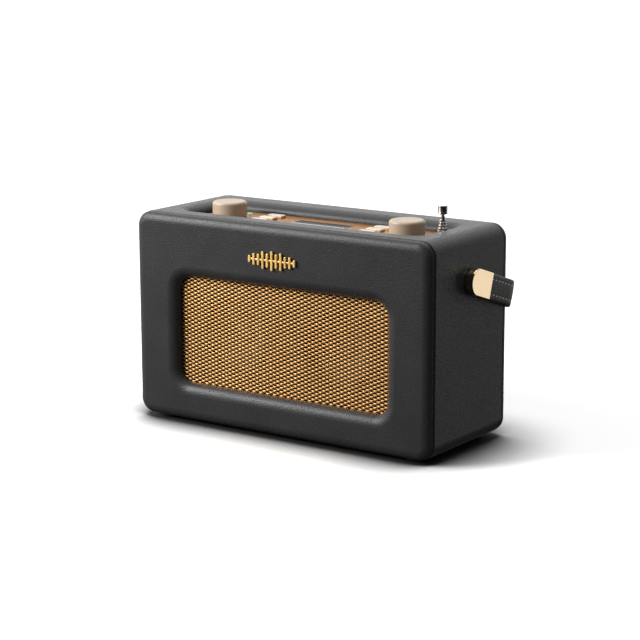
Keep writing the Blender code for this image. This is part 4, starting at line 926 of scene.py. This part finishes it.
def make_display():
    """The dark window with its bevelled edge, and the domed lens of the lamp."""
    middle, size = corners("display_window")
    edge = 0.4 * MM
    low, shoulder = middle.z - size.z / 2, middle.z + size.z / 2 - edge
    levels = [(0.0, low)] + [(inset, shoulder + rise) for inset, rise in quarter(edge, edge, 4)]
    bm = stacked(size.x, size.y, 0.8 * MM, middle.xy, levels, SMALL_CORNER_STEPS, ease=0.0)
    piece("display_glass", bm, finish_of("display_glass"), "cabinet", ["display_window"])
    middle, size = corners("status_lamp")
    low, high, radius = middle.z - size.z / 2, middle.z + size.z / 2, size.x / 2
    dome = 0.6 * MM
    turns = [QUARTER_TURN * index / BEAD_STEPS for index in range(BEAD_STEPS + 1)]
    outline = [(radius * math.sin(turn), high - dome + dome * math.cos(turn)) for turn in turns]
    bm = turned(outline + [(radius, low), (0, low)], (middle.x, middle.y, 0), steps=SMALL_TURN_STEPS)
    piece("lamp_lens", bm, finish_of("lamp_green"), "cabinet", ["status_lamp"])


def make_antenna():
    """Chromed tubes, each with a rolled mouth, the tip with its cap, and the collar in the panel."""
    chrome = finish_of("chrome")
    nodes = ["antenna_sleeve"] + [f"antenna_section_{index}" for index in range(1, 6)]
    bodies = ["antenna_base"] + [f"antenna_stage_{index}" for index in range(1, 6)]
    wall = 0.25 * MM
    for node, body in zip(nodes, bodies):
        middle, size = corners(node)
        radius, low, high = size.x / 2, middle.z - size.z / 2, middle.z + size.z / 2
        mouth = [(radius, high - 0.15 * MM), (radius - wall * 0.4, high), (radius - wall, high - 0.1 * MM)]
        outline = [(radius - wall, low), (radius, low)] + mouth
        bm = turned(outline, (middle.x, middle.y, 0), closed=True, steps=SMALL_TURN_STEPS)
        piece(f"{node}_tube", bm, chrome, body, [node])
    middle, size = corners("antenna_tip")
    low, high, radius = middle.z - size.z / 2, middle.z + size.z / 2, size.x / 2
    rod, cap_height = radius - 2.25 * MM, 6 * MM
    under = high - cap_height
    outline = [
        (0, low),
        (rod, low),
        (rod, under),
        (radius, under),
        (radius, under + 0.9 * MM),
        (radius - 0.3 * MM, under + 1.2 * MM),
        (radius, under + 1.5 * MM),
        (radius, high),
        (0, high),
    ]
    bm = turned(rounded_profile(outline, 0.35 * MM), (middle.x, middle.y, 0), steps=SMALL_TURN_STEPS)
    piece("antenna_tip_rod", bm, chrome, "antenna_stage_6", ["antenna_tip"])
    middle, size = corners("antenna_bush")
    high, low, radius = middle.z + size.z / 2, middle.z - size.z / 2, size.x / 2
    bore, neck = radius - 0.85 * MM, radius - 0.5 * MM
    flange = high - 0.5 * MM
    outline = [(bore, low), (neck, low), (neck, flange), (radius, flange)]
    outline += [(radius - 0.15 * MM, high), (bore, high)]
    bm = turned(outline, (middle.x, middle.y, 0), closed=True, steps=SMALL_TURN_STEPS)
    piece("antenna_collar", bm, finish_of("black_plastic"), "cabinet", ["antenna_bush"])


# ---------------------------------------------------------------- handle


def to_handle(bm):
    """Moves a shape from the handle's own axes, whose arms run along +Y, to where the handle rests."""
    placed(bm, Matrix.Rotation(REST_TILT, 3, "X"), PIVOT)


def strap_path(spacing):
    """Stations along the strap's middle line: place, outward direction and distance from the start."""
    half_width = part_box("handle_strap")[1].x - STRAP_THICKNESS / 2
    reach = strap_reach()
    bend = STRAP_BEND - STRAP_THICKNESS / 2
    start = BRACKET_BLOCK + CLEAR
    arm = reach - bend - start
    turn = bend * QUARTER_TURN
    grip = 2 * (half_width - bend)
    total = 2 * arm + 2 * turn + grip
    count = round(total / spacing)
    stations = []
    for index in range(count + 1):
        along = total * index / count
        mirrored = along > total / 2
        run = min(along, total - along)
        if run < arm:
            place, outward = Vector((half_width, start + run, 0)), Vector((1, 0, 0))
        elif run < arm + turn:
            angle = (run - arm) / bend
            outward = Vector((math.cos(angle), math.sin(angle), 0))
            place = Vector((half_width - bend, reach - bend, 0)) + outward * bend
        else:
            place, outward = Vector((half_width - bend - (run - arm - turn), reach, 0)), Vector((0, 1, 0))
        if mirrored:
            place.x, outward.x = -place.x, -outward.x
        stations.append((place, outward, along))
    return stations


def strap_reach():
    """Distance from the pivot to the middle line of the grip."""
    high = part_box("handle_strap")[1]
    drop = STRAP_WIDTH / 2 * abs(math.sin(REST_TILT))
    return (high.y - PIVOT.y - drop) / math.cos(REST_TILT) - STRAP_THICKNESS / 2


def strap_half_thickness(across):
    """Half the strap's thickness at a distance from its middle: full, dipping at each stitch row."""
    dip = math.exp(-(((abs(across) - STITCH_ROW) / (0.7 * MM)) ** 2))
    return STRAP_THICKNESS / 2 * (1 - 0.16 * dip)


def make_strap():
    """The leather strap with soft edges and a groove under each row of stitches."""
    points = 48
    bm = bmesh.new()
    loops = []
    for place, outward, along in strap_path(2.2 * MM):
        verts = bmesh.ops.create_circle(bm, cap_ends=False, segments=points, radius=1.0)["verts"]
        for vert in verts:
            across = STRAP_WIDTH / 2 * math.copysign(abs(vert.co.x) ** 0.55, vert.co.x)
            edge = math.copysign(abs(vert.co.y) ** 0.42, vert.co.y)
            vert.co = place + outward * edge * strap_half_thickness(across) + Vector((0, 0, across))
        loops.append(edges_between(verts))
    skin(bm, loops, lift=(0, 0, 0))
    cap(bm, loops[0])
    cap(bm, loops[-1])
    to_handle(bm)
    leather = finish_of("strap_leather")
    piece("handle_strap_leather", bm, leather, "handle", ["handle_strap"], sharp=60)


def make_stitches():
    """Two rows of stitches on each face of the strap."""
    looks = bpy.context.scene.radio_handle
    pitch = looks.stitch_length + looks.stitch_gap
    stations = strap_path(pitch)
    bm = bmesh.new()
    hidden = BRACKET_TONGUE - BRACKET_BLOCK - MM
    for place, outward, along in stations:
        if along < hidden or along > stations[-1][2] - hidden:
            continue
        ahead = Vector((-outward.y, outward.x, 0))
        for row in (-STITCH_ROW, STITCH_ROW):
            for face in (-1, 1):
                lift = strap_half_thickness(row) + 0.02 * MM
                one = bmesh.ops.create_uvsphere(bm, u_segments=6, v_segments=5, radius=1.0)["verts"]
                for vert in one:
                    along_stitch = vert.co.z * looks.stitch_length / 2
                    sink = -0.25 * MM * abs(vert.co.z) ** 3
                    rise = vert.co.x * looks.thread_width / 2 + sink
                    vert.co = (
                        place
                        + outward * face * (lift + rise)
                        + ahead * along_stitch
                        + Vector((0, 0, row + vert.co.y * looks.thread_width / 2))
                    )
    to_handle(bm)
    piece("strap_stitches", bm, finish_of("thread"), "handle", sharp=80, flat_faces=False)


def make_brackets():
    """The two plated brackets: a half-round end, polished flanks and a slot that grips the strap."""
    low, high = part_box("right_handle_bracket")
    thickness = high.x - low.x
    x = (low.x + high.x) / 2
    half = STRAP_WIDTH / 2
    for side, name in ((-1, "left"), (1, "right")):
        bm = bmesh.new()
        turns = [math.pi * (1 + index / SMALL_TURN_STEPS) for index in range(SMALL_TURN_STEPS + 1)]
        outline = [(half * math.cos(turn), half * math.sin(turn)) for turn in turns]
        outline += [(half, BRACKET_TONGUE), (-half, BRACKET_TONGUE)]
        ring = [bm.verts.new((-thickness / 2, along, across)) for across, along in outline]
        raised = bmesh.ops.extrude_face_region(bm, geom=[bm.faces.new(ring)])["geom"]
        moved = [item for item in raised if isinstance(item, bmesh.types.BMVert)]
        bmesh.ops.translate(bm, vec=(thickness, 0, 0), verts=moved)
        soften(bm, 0.55 * MM, None, 4, 40)
        gap = (STRAP_THICKNESS + 2 * CLEAR, 2 * BRACKET_TONGUE, 3 * STRAP_WIDTH)
        bm = combined(bm, bar(gap, (0, BRACKET_BLOCK + BRACKET_TONGUE, 0)))
        start, end = -BRACKET_BLIND - thickness, thickness / 2 - BRACKET_BLIND
        bore = [(0, start), (BRACKET_BORE_RADIUS, start), (BRACKET_BORE_RADIUS, end), (0, end)]
        facing = Matrix.Rotation(side * QUARTER_TURN, 3, "Y")
        bm = combined(bm, turned(bore, turn=facing, steps=SMALL_TURN_STEPS))
        to_handle(placed(bm, shift=(side * x, 0, 0)))
        node = f"{name}_handle_bracket"
        piece(f"{node}_plate", bm, finish_of("brass"), "handle", [node], sharp=30)
        make_pivot_collar(side, name)


def make_pivot_collar(side, name):
    """The flanged bush in the side wall, of which the flange shows behind the bracket."""
    node = f"{name}_pivot_bush"
    low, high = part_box(node)
    outer, inner = (high.x, low.x) if side > 0 else (-low.x, -high.x)
    flange = (high.y - low.y) / 2
    radius, bore, lip = flange - 3.0 * MM, flange - 4.35 * MM, 1.0 * MM
    outline = [
        (bore, inner),
        (radius, inner),
        (radius, outer - lip),
        (flange, outer - lip),
        (flange, outer - 0.3 * MM),
        (flange - 0.3 * MM, outer),
        (bore, outer),
    ]
    turn = Matrix.Rotation(side * QUARTER_TURN, 3, "Y")
    bm = turned(outline, (0, PIVOT.y, PIVOT.z), turn, closed=True, steps=TURN_STEPS)
    piece(f"{node}_ring", bm, finish_of("brass"), "cabinet", [node])


# ---------------------------------------------------------------- back


def make_back_face():
    """The leathercloth back with its openings for the battery door, the sockets and the screws."""
    middle, size = corners("back_panel")
    rolled, rise = BACK_ROLL
    levels = [(0.0, -size.y)] + [(inset, lift - rise) for inset, lift in quarter(rolled, rise)]
    bm = stacked(size.x, size.z, PANEL_CORNER_RADIUS, (0, middle.z), levels, CORNER_STEPS)
    face_y = middle.y + size.y / 2
    upright(bm, 0.0)
    bmesh.ops.scale(bm, vec=(1, -1, 1), verts=bm.verts)
    placed(bm, shift=(0, face_y, 0))
    deep = 4 * size.y
    for node, gap, corner in (("battery_door", DOOR_GAP, 0.0), ("socket_plate", CLEAR, 2.0 * MM)):
        place, opening = corners(node)
        span = (opening.x + 2 * gap, deep, opening.z + 2 * gap)
        bm = combined(bm, bar(span, (place.x, face_y, place.z), 1, corner, 6))
    facing = Matrix.Rotation(QUARTER_TURN, 3, "X")
    head, shank = SCREW_HEAD_RADIUS + CLEAR, SCREW_HEAD_RADIUS / 2
    sink = SCREW_HEAD_HEIGHT + 2 * CLEAR
    for index in range(1, 5):
        place = corners(f"back_screw_{index}")[0]
        outline = [(0, -deep), (head, -deep), (head, sink), (shank, sink), (shank, deep), (0, deep)]
        hole = turned(outline, (place.x, face_y, place.z), facing, steps=SMALL_TURN_STEPS)
        bm = combined(bm, hole)
    piece("back_face", bm, finish_of("leathercloth"), "cabinet", ["back_panel"], sharp=50)


def make_screws():
    """Four countersunk cross-head screws."""
    facing = Matrix.Rotation(-QUARTER_TURN, 3, "X")
    for index in range(1, 5):
        node = f"back_screw_{index}"
        middle, size = corners(node)
        length, radius = size.y, size.x / 2
        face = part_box(node)[1].y
        dome = [(radius * 0.5, -0.08 * MM), (radius * 0.85, -0.3 * MM), (radius, -0.7 * MM)]
        outline = [(0, 0)] + dome + [
            (radius, -SCREW_HEAD_HEIGHT),
            (radius * 0.47, -SCREW_HEAD_HEIGHT),
            (radius * 0.47, 1 * MM - length),
            (0, -length),
        ]
        bm = turned(outline, (0, 0, 0), steps=SMALL_TURN_STEPS)
        for turn in (0, QUARTER_TURN):
            blade = bar((3.6 * MM, 0.8 * MM, 2.4 * MM))
            bm = combined(bm, placed(blade, Matrix.Rotation(turn + 0.4 * index, 3, "Z")))
        placed(bm, facing, (middle.x, face, middle.z))
        piece(f"{node}_cross", bm, finish_of("steel"), "cabinet", [node], sharp=30)


def make_door():
    """The battery door: a moulded plate with a rounded hinge edge, a thumb grip and grip ribs."""
    middle, size = corners("battery_door")
    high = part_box("battery_door")[1]
    bm = bar(size, middle, 0, size.y * 0.3, 4)
    soften(bm, 0.5 * MM, None, 3, 60)
    grip_z = high.z - 10.6 * MM
    grip = bar((22 * MM, 3.2 * MM, 7 * MM), (0, high.y, grip_z), 1, 3 * MM, 8)
    soften(grip, 0.4 * MM, None, 3, 60)
    bm = combined(bm, grip)
    for index in range(3):
        rib_place = (0, high.y - 1.2 * MM, grip_z + (index - 1) * 1.7 * MM)
        rib = bar((16 * MM, 0.9 * MM, 0.7 * MM), rib_place, 0, 0.3 * MM, 3)
        bm = combined(bm, rib, "UNION")
    place = (0, high.y, middle.z)
    inset = 4 * MM
    outer = bar((size.x - 2 * inset, 0.6 * MM, size.z - 2 * inset), place, 1, 4 * MM, 8)
    inset = 4.6 * MM
    inner = bar((size.x - 2 * inset, 3 * MM, size.z - 2 * inset), place, 1, 3.4 * MM, 8)
    bm = combined(bm, combined(outer, inner))
    piece("battery_door_plate", bm, finish_of("black_plastic"), "door", ["battery_door"])


def make_sockets():
    """The socket plate with its rimmed holes, and the metal liners of the sockets behind it."""
    middle, size = corners("socket_plate")
    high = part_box("socket_plate")[1]
    bm = bar(size, middle, 1, 1.7 * MM, 6)
    soften(bm, 0.3 * MM, None, 3, 60)
    facing = Matrix.Rotation(QUARTER_TURN, 3, "X")
    liners = bmesh.new()
    for step, radius in ((-1, DC_RADIUS), (0, JACK_RADIUS), (1, JACK_RADIUS)):
        z = middle.z + step * SOCKET_PITCH
        rim_radius = radius + 2.2 * MM
        place = (middle.x, high.y, z)
        dish = [(0, -2 * MM), (rim_radius, -2 * MM), (rim_radius, 0.5 * MM)]
        dish += [(rim_radius - 0.5 * MM, 0.8 * MM), (0, 0.8 * MM)]
        hole = [(0, -6 * MM), (radius + CLEAR, -6 * MM), (radius + CLEAR, 6 * MM), (0, 6 * MM)]
        for cut in (dish, hole):
            bm = combined(bm, turned(cut, place, facing, steps=SMALL_TURN_STEPS))
        inner, outer = radius - 0.25 * MM, radius + 0.2 * MM
        liner = [(inner, 0.9 * MM), (outer, 0.9 * MM), (outer, 6 * MM), (inner, 6 * MM)]
        absorb(liners, turned(liner, place, facing, closed=True, steps=SMALL_TURN_STEPS))
    piece("socket_plate_face", bm, finish_of("black_plastic"), "cabinet", ["socket_plate"])
    piece("socket_liners", liners, finish_of("steel"), "cabinet")


def make_cells():
    """Four cells in the battery case, with their caps."""
    middle, size = corners("battery_cells")
    radius = size.z / 4 - 0.3 * MM
    length = size.x / 2 - 0.6 * MM
    bm = bmesh.new()
    for column in (-1, 1):
        for row in (-1, 1):
            half = length / 2
            outline = [
                (0, -half),
                (radius - 1 * MM, -half),
                (radius, 0.8 * MM - half),
                (radius, half - 3 * MM),
                (radius - 1 * MM, half - 2 * MM),
                (radius * 0.33, half - 2 * MM),
                (radius * 0.33, half),
                (0, half),
            ]
            turn = Matrix.Rotation(row * QUARTER_TURN, 3, "Y")
            centre = (column * size.x / 4, middle.y, middle.z + row * size.z / 4)
            absorb(bm, turned(rounded_profile(outline, 0.6 * MM), centre, turn, steps=SMALL_TURN_STEPS))
    piece("battery_cells_set", bm, finish_of("cell_jacket"), "cabinet", ["battery_cells"])


def dress_inside():
    """Gives every frame node that still shows the finish of its slot in the record."""
    for entry in frame["record"]["subparts"]:
        node = frame["nodes"][entry["node"]]
        if node.hide_render:
            continue
        node.data.materials.clear()
        node.data.materials.append(finish_of(entry["material_slot"]))


# ---------------------------------------------------------------- studio


def soft_sun(name, direction, strength, softness):
    """A distant light with soft shadows that shines along a direction."""
    data = bpy.data.lights.new(name, "SUN")
    data.energy = strength
    data.angle = softness
    light = bpy.data.objects.new(name, data)
    light.rotation_euler = Vector(direction).to_track_quat("-Z", "Y").to_euler()
    bpy.context.scene.collection.objects.link(light)


def soft_panel(name, place, width, power):
    """A square soft light that faces the middle of the radio."""
    data = bpy.data.lights.new(name, "AREA")
    data.size = width
    data.energy = power
    light = bpy.data.objects.new(name, data)
    low, high = (Vector(corner) for corner in CAD_BOX)
    aim = (low + high) / 2 - Vector(place)
    light.location = place
    light.rotation_euler = aim.to_track_quat("-Z", "Y").to_euler()
    bpy.context.scene.collection.objects.link(light)


def make_room(stage):
    """Walls all round that show in reflections, with a dark screen at the right, and a dim even fill."""
    world = bpy.data.worlds.new("studio_room")
    world.use_nodes = True
    tree = world.node_tree
    white = (1.0, 1.0, 1.0, 1.0)

    def add(kind, values=None, links=None, **settings):
        made = tree.nodes.new(kind)
        for name, value in settings.items():
            setattr(made, name, value)
        for name, value in (values or {}).items():
            made.inputs[name].default_value = value
        for name, source in (links or {}).items():
            tree.links.new(source, made.inputs[name])
        return made

    def ease(value, start, end, low, high):
        values = {"From Min": start, "From Max": end, "To Min": low, "To Max": high}
        made = add("ShaderNodeMapRange", values, {"Value": value}, interpolation_type="SMOOTHSTEP")
        return made.outputs["Result"]

    def product(first, second):
        return add("ShaderNodeMath", links={0: first, 1: second}, operation="MULTIPLY").outputs["Value"]

    def facing(direction):
        values = {1: Vector(direction).normalized()}
        return add("ShaderNodeVectorMath", values, {0: looking}, operation="DOT_PRODUCT").outputs["Value"]

    looking = add("ShaderNodeTexCoord").outputs["Generated"]
    upward = facing((0, 0, 1))
    height = ease(upward, *WALL_FOOT, stage.low_light, stage.room_light)
    above = ease(upward, *CEILING_EDGE, 1.0, stage.ceiling_light)
    below = ease(upward, *GROUND_EDGE, 0.0, 1.0)
    screen = ease(facing(stage.screen_direction), *stage.screen_edge, 1.0, stage.screen_light)
    walls = product(product(product(height, above), below), screen)
    patch = ease(facing(stage.strip_direction), *STRIP_EDGE, 0.0, stage.strip_light)
    shown = add("ShaderNodeMath", links={0: walls, 1: patch}, operation="MAXIMUM").outputs["Value"]
    rays = add("ShaderNodeLightPath").outputs
    mirrored = add("ShaderNodeBackground", {"Color": white}, {"Strength": shown})
    fill = add("ShaderNodeBackground", {"Color": white, "Strength": stage.fill_light})
    seen = add("ShaderNodeBackground", {"Color": white, "Strength": 1.0})
    lit = add(
        "ShaderNodeMixShader",
        links={0: rays["Is Glossy Ray"], 1: fill.outputs["Background"], 2: mirrored.outputs["Background"]},
    )
    every = add(
        "ShaderNodeMixShader",
        links={0: rays["Is Camera Ray"], 1: lit.outputs["Shader"], 2: seen.outputs["Background"]},
    )
    tree.links.new(every.outputs["Shader"], tree.nodes["World Output"].inputs["Surface"])
    bpy.context.scene.world = world


def make_stage():
    """A pale floor, soft studio lights and the camera."""
    stage = bpy.context.scene.radio_stage
    bm = bmesh.new()
    bmesh.ops.create_grid(bm, x_segments=2, y_segments=2, size=FLOOR_HALF_WIDTH)
    mesh = bpy.data.meshes.new("studio_floor")
    bm.to_mesh(mesh)
    bm.free()
    mesh.materials.append(studio_floor(
        tuple(stage.floor_colour), stage.floor_gain, stage.shadow_reach, stage.floor_bounce
    ))
    floor = bpy.data.objects.new("studio_floor", mesh)
    bpy.context.scene.collection.objects.link(floor)
    floor.visible_glossy = False
    make_room(stage)
    soft_panel("key_light", stage.key_place, stage.key_width, stage.key_power)
    soft_sun("top_sun", stage.top_direction, stage.top_strength, stage.top_softness)
    data = bpy.data.cameras.new("camera")
    data.lens = stage.lens
    data.sensor_width = 36
    data.clip_start, data.clip_end = 0.05, 50
    camera = bpy.data.objects.new("camera", data)
    turn = Matrix.Rotation(stage.camera_azimuth, 4, "Z")
    tilt = Matrix.Rotation(QUARTER_TURN - stage.camera_down, 4, "X")
    roll = Matrix.Rotation(stage.camera_roll, 4, "Z")
    camera.matrix_world = Matrix.Translation(stage.camera_place) @ turn @ tilt @ roll
    bpy.context.scene.collection.objects.link(camera)
    bpy.context.scene.camera = camera
    bpy.context.scene.view_settings.view_transform = "Standard"


# ---------------------------------------------------------------- add-on


def colour_property(name, description, default):
    return bpy.props.FloatVectorProperty(
        name=name, description=description, default=default, subtype="COLOR", size=3, min=0.0, max=1.0
    )


def amount_property(name, description, default):
    return bpy.props.FloatProperty(name=name, description=description, default=default, min=0.0)


def angle_property(name, description, default):
    return bpy.props.FloatProperty(
        name=name, description=description, default=default, subtype="ANGLE", unit="ROTATION"
    )


def vector_property(name, description, default, size):
    return bpy.props.FloatVectorProperty(name=name, description=description, default=default, size=size)


def place_property(name, description, default):
    return bpy.props.FloatVectorProperty(
        name=name, description=description, default=default, subtype="TRANSLATION", unit="LENGTH"
    )


def length_property(name, description, default):
    return bpy.props.FloatProperty(
        name=name, description=description, default=default, min=0.0, unit="LENGTH", precision=5
    )


class RadioLooks(bpy.types.PropertyGroup):
    """Colours and grain of the radio's surfaces."""

    cloth_colour: colour_property("Leathercloth", "Colour of the cabinet's cover", (0.033, 0.033, 0.034))
    strap_colour: colour_property("Strap", "Colour of the handle's leather", (0.052, 0.050, 0.046))
    mesh_colour: colour_property("Grille", "Colour of the expanded metal", (0.86, 0.36, 0.065))
    badge_colour: colour_property("Badge", "Colour of the ornament", (1.0, 0.64, 0.22))
    panel_colour: colour_property("Panel", "Colour of the control panel", (0.38, 0.165, 0.038))
    knob_colour: colour_property("Knobs", "Colour of the two knobs", (0.47, 0.365, 0.268))
    key_colour: colour_property("Keys", "Colour of the eight keys", (0.63, 0.555, 0.44))
    brass_colour: colour_property("Brackets", "Colour of the plated brackets", (0.92, 0.72, 0.46))
    grain_size: length_property("Grain size", "Width of one pebble of the grain", 0.0012)
    grain_depth: length_property("Grain depth", "Depth of the creases between pebbles", 0.00007)


class RadioGrille(bpy.types.PropertyGroup):
    """Pattern of the expanded metal."""

    column_pitch: length_property("Column pitch", "Distance between columns of dots", 0.00301)
    row_pitch: length_property("Row pitch", "Distance between dots in a column", 0.00290)
    hole_width: length_property("Hole width", "Width of a lens-shaped hole", 0.0038)
    hole_height: length_property("Hole height", "Height of a lens-shaped hole", 0.0015)
    dot_radius: length_property("Dot radius", "Radius of a raised dot", 0.0009)


class RadioHandle(bpy.types.PropertyGroup):
    """Stitching of the carrying strap."""

    stitch_length: length_property("Stitch length", "Length of one stitch", 0.0030)
    stitch_gap: length_property("Stitch gap", "Distance between two stitches", 0.0016)
    thread_width: length_property("Thread width", "Width of the thread", 0.0007)


class RadioStage(bpy.types.PropertyGroup):
    """Floor, lights and camera."""

    floor_colour: colour_property("Floor", "Colour of the floor", (0.86, 0.86, 0.86))
    floor_gain: amount_property("Floor gain", "How much brighter the floor shows than its colour", 1.65)
    shadow_reach: length_property("Shadow reach", "How far the contact shadow spreads", 0.06)
    floor_bounce: amount_property("Floor bounce", "Share of light that the floor throws back", 0.22)
    room_light: amount_property("Room light", "Brightness of the walls in reflections", 1.3)
    low_light: amount_property("Low light", "Brightness below the radio in reflections", 0.12)
    ceiling_light: amount_property("Ceiling light", "How much brighter the ceiling is than the walls", 1.35)
    fill_light: amount_property("Fill light", "Even light from all round", 0.25)
    screen_light: amount_property("Screen light", "Share of light that the dark screen keeps", 0.01)
    screen_direction: vector_property(
        "Screen direction", "Where the dark screen stands", (0.866, -0.5, 0.0), 3
    )
    screen_edge: vector_property(
        "Screen edge", "How far round the screen reaches, soft to full", (-0.28, 0.12), 2
    )
    strip_direction: vector_property(
        "Strip direction", "Where the strip light stands", (0.561, 0.801, -0.209), 3
    )
    strip_light: amount_property("Strip light", "Brightness of the strip light in reflections", 1.0)
    key_place: place_property("Key place", "Where the key light stands", (-0.62, -0.60, 0.55))
    key_width: length_property("Key width", "Width and height of the key light", 0.5)
    key_power: bpy.props.FloatProperty(
        name="Key light", description="Power of the key light", default=12.5, unit="POWER"
    )
    top_direction: vector_property("Top direction", "Where the top light shines", (0.0, -0.16, -1.0), 3)
    top_strength: amount_property("Top light", "Strength of the top light", 1.5)
    top_softness: angle_property("Top softness", "Width of the top light", 0.8)
    lens: bpy.props.FloatProperty(
        name="Lens", description="Focal length of the camera", default=113.0, unit="CAMERA"
    )
    camera_place: place_property("Camera place", "Where the camera stands", (0.8022, -1.1514, 0.3761))
    camera_azimuth: angle_property("Camera azimuth", "Turn of the view round the radio", math.radians(34.96))
    camera_down: angle_property("Camera tilt", "How far the view looks down", math.radians(12.08))
    camera_roll: angle_property("Camera roll", "Turn about the line of sight", math.radians(-0.16))


class RADIO_OT_front_face(bpy.types.Operator):
    """Make the padded front"""

    bl_idname = "radio.front_face"
    bl_label = "Front Face"

    def execute(self, context):
        make_front_face()
        return {"FINISHED"}


class RADIO_OT_piping(bpy.types.Operator):
    """Make the two beads between the panels and the body"""

    bl_idname = "radio.piping"
    bl_label = "Piping"

    def execute(self, context):
        make_piping()
        return {"FINISHED"}


class RADIO_OT_body_cover(bpy.types.Operator):
    """Make the leathercloth round the body"""

    bl_idname = "radio.body_cover"
    bl_label = "Body Cover"

    def execute(self, context):
        make_body_cover()
        return {"FINISHED"}


class RADIO_OT_grille(bpy.types.Operator):
    """Make the expanded metal"""

    bl_idname = "radio.grille"
    bl_label = "Grille"

    def execute(self, context):
        make_grille()
        return {"FINISHED"}


class RADIO_OT_badge(bpy.types.Operator):
    """Make the ornament on the front"""

    bl_idname = "radio.badge"
    bl_label = "Badge"

    def execute(self, context):
        make_badge()
        return {"FINISHED"}


class RADIO_OT_feet(bpy.types.Operator):
    """Make the four feet"""

    bl_idname = "radio.feet"
    bl_label = "Feet"

    def execute(self, context):
        make_feet()
        return {"FINISHED"}


class RADIO_OT_control_print(bpy.types.Operator):
    """Make the marks on the control panel"""

    bl_idname = "radio.control_print"
    bl_label = "Control Print"

    def execute(self, context):
        make_control_print()
        return {"FINISHED"}


class RADIO_OT_knobs(bpy.types.Operator):
    """Make the two knobs"""

    bl_idname = "radio.knobs"
    bl_label = "Knobs"

    def execute(self, context):
        make_knobs()
        return {"FINISHED"}


class RADIO_OT_keys(bpy.types.Operator):
    """Make the eight keys"""

    bl_idname = "radio.keys"
    bl_label = "Keys"

    def execute(self, context):
        make_keys()
        return {"FINISHED"}


class RADIO_OT_display(bpy.types.Operator):
    """Make the display window and the lamp"""

    bl_idname = "radio.display"
    bl_label = "Display"

    def execute(self, context):
        make_display()
        return {"FINISHED"}


class RADIO_OT_antenna(bpy.types.Operator):
    """Make the telescopic antenna and its collar"""

    bl_idname = "radio.antenna"
    bl_label = "Antenna"

    def execute(self, context):
        make_antenna()
        return {"FINISHED"}


class RADIO_OT_strap(bpy.types.Operator):
    """Make the leather strap"""

    bl_idname = "radio.strap"
    bl_label = "Strap"

    def execute(self, context):
        make_strap()
        return {"FINISHED"}


class RADIO_OT_stitches(bpy.types.Operator):
    """Make the strap's stitching"""

    bl_idname = "radio.stitches"
    bl_label = "Stitches"

    def execute(self, context):
        make_stitches()
        return {"FINISHED"}


class RADIO_OT_brackets(bpy.types.Operator):
    """Make the brackets and their bushes"""

    bl_idname = "radio.brackets"
    bl_label = "Brackets"

    def execute(self, context):
        make_brackets()
        return {"FINISHED"}


class RADIO_OT_back_face(bpy.types.Operator):
    """Make the back panel"""

    bl_idname = "radio.back_face"
    bl_label = "Back Face"

    def execute(self, context):
        make_back_face()
        return {"FINISHED"}


class RADIO_OT_screws(bpy.types.Operator):
    """Make the four back screws"""

    bl_idname = "radio.screws"
    bl_label = "Screws"

    def execute(self, context):
        make_screws()
        return {"FINISHED"}


class RADIO_OT_door(bpy.types.Operator):
    """Make the battery door"""

    bl_idname = "radio.door"
    bl_label = "Battery Door"

    def execute(self, context):
        make_door()
        return {"FINISHED"}


class RADIO_OT_sockets(bpy.types.Operator):
    """Make the socket plate and liners"""

    bl_idname = "radio.sockets"
    bl_label = "Sockets"

    def execute(self, context):
        make_sockets()
        return {"FINISHED"}


class RADIO_OT_cells(bpy.types.Operator):
    """Make the battery cells"""

    bl_idname = "radio.cells"
    bl_label = "Cells"

    def execute(self, context):
        make_cells()
        return {"FINISHED"}


class RADIO_OT_inside(bpy.types.Operator):
    """Give the frame nodes that show their finish"""

    bl_idname = "radio.inside"
    bl_label = "Inside"

    def execute(self, context):
        dress_inside()
        return {"FINISHED"}


class RADIO_OT_stage(bpy.types.Operator):
    """Make the floor, the lights and the camera"""

    bl_idname = "radio.stage"
    bl_label = "Stage"

    def execute(self, context):
        make_stage()
        return {"FINISHED"}


OPERATORS = (
    RADIO_OT_front_face,
    RADIO_OT_piping,
    RADIO_OT_body_cover,
    RADIO_OT_grille,
    RADIO_OT_badge,
    RADIO_OT_feet,
    RADIO_OT_control_print,
    RADIO_OT_knobs,
    RADIO_OT_keys,
    RADIO_OT_display,
    RADIO_OT_antenna,
    RADIO_OT_strap,
    RADIO_OT_stitches,
    RADIO_OT_brackets,
    RADIO_OT_back_face,
    RADIO_OT_screws,
    RADIO_OT_door,
    RADIO_OT_sockets,
    RADIO_OT_cells,
    RADIO_OT_inside,
    RADIO_OT_stage,
)


class RADIO_PT_finish(bpy.types.Panel):
    """The radio's settings and the button of each piece"""

    bl_label = "Radio"
    bl_space_type = "VIEW_3D"
    bl_region_type = "UI"
    bl_category = "Radio"

    def draw(self, context):
        for group in PROPERTY_GROUPS:
            settings = getattr(context.scene, group)
            box = self.layout.box()
            for name in settings.__annotations__:
                box.prop(settings, name)
        for made in OPERATORS:
            self.layout.operator(made.bl_idname)


PROPERTY_GROUPS = {
    "radio_looks": RadioLooks,
    "radio_grille": RadioGrille,
    "radio_handle": RadioHandle,
    "radio_stage": RadioStage,
}
CLASSES = [*PROPERTY_GROUPS.values(), *OPERATORS, RADIO_PT_finish]


def register():
    for made in CLASSES:
        bpy.utils.register_class(made)
    for name, group in PROPERTY_GROUPS.items():
        setattr(bpy.types.Scene, name, bpy.props.PointerProperty(type=group))


def unregister():
    for name in PROPERTY_GROUPS:
        delattr(bpy.types.Scene, name)
    for made in reversed(CLASSES):
        bpy.utils.unregister_class(made)


def main():
    register()
    for made in OPERATORS:
        getattr(bpy.ops.radio, made.bl_idname.split(".")[1])()


if __name__ == "__main__":
    main()
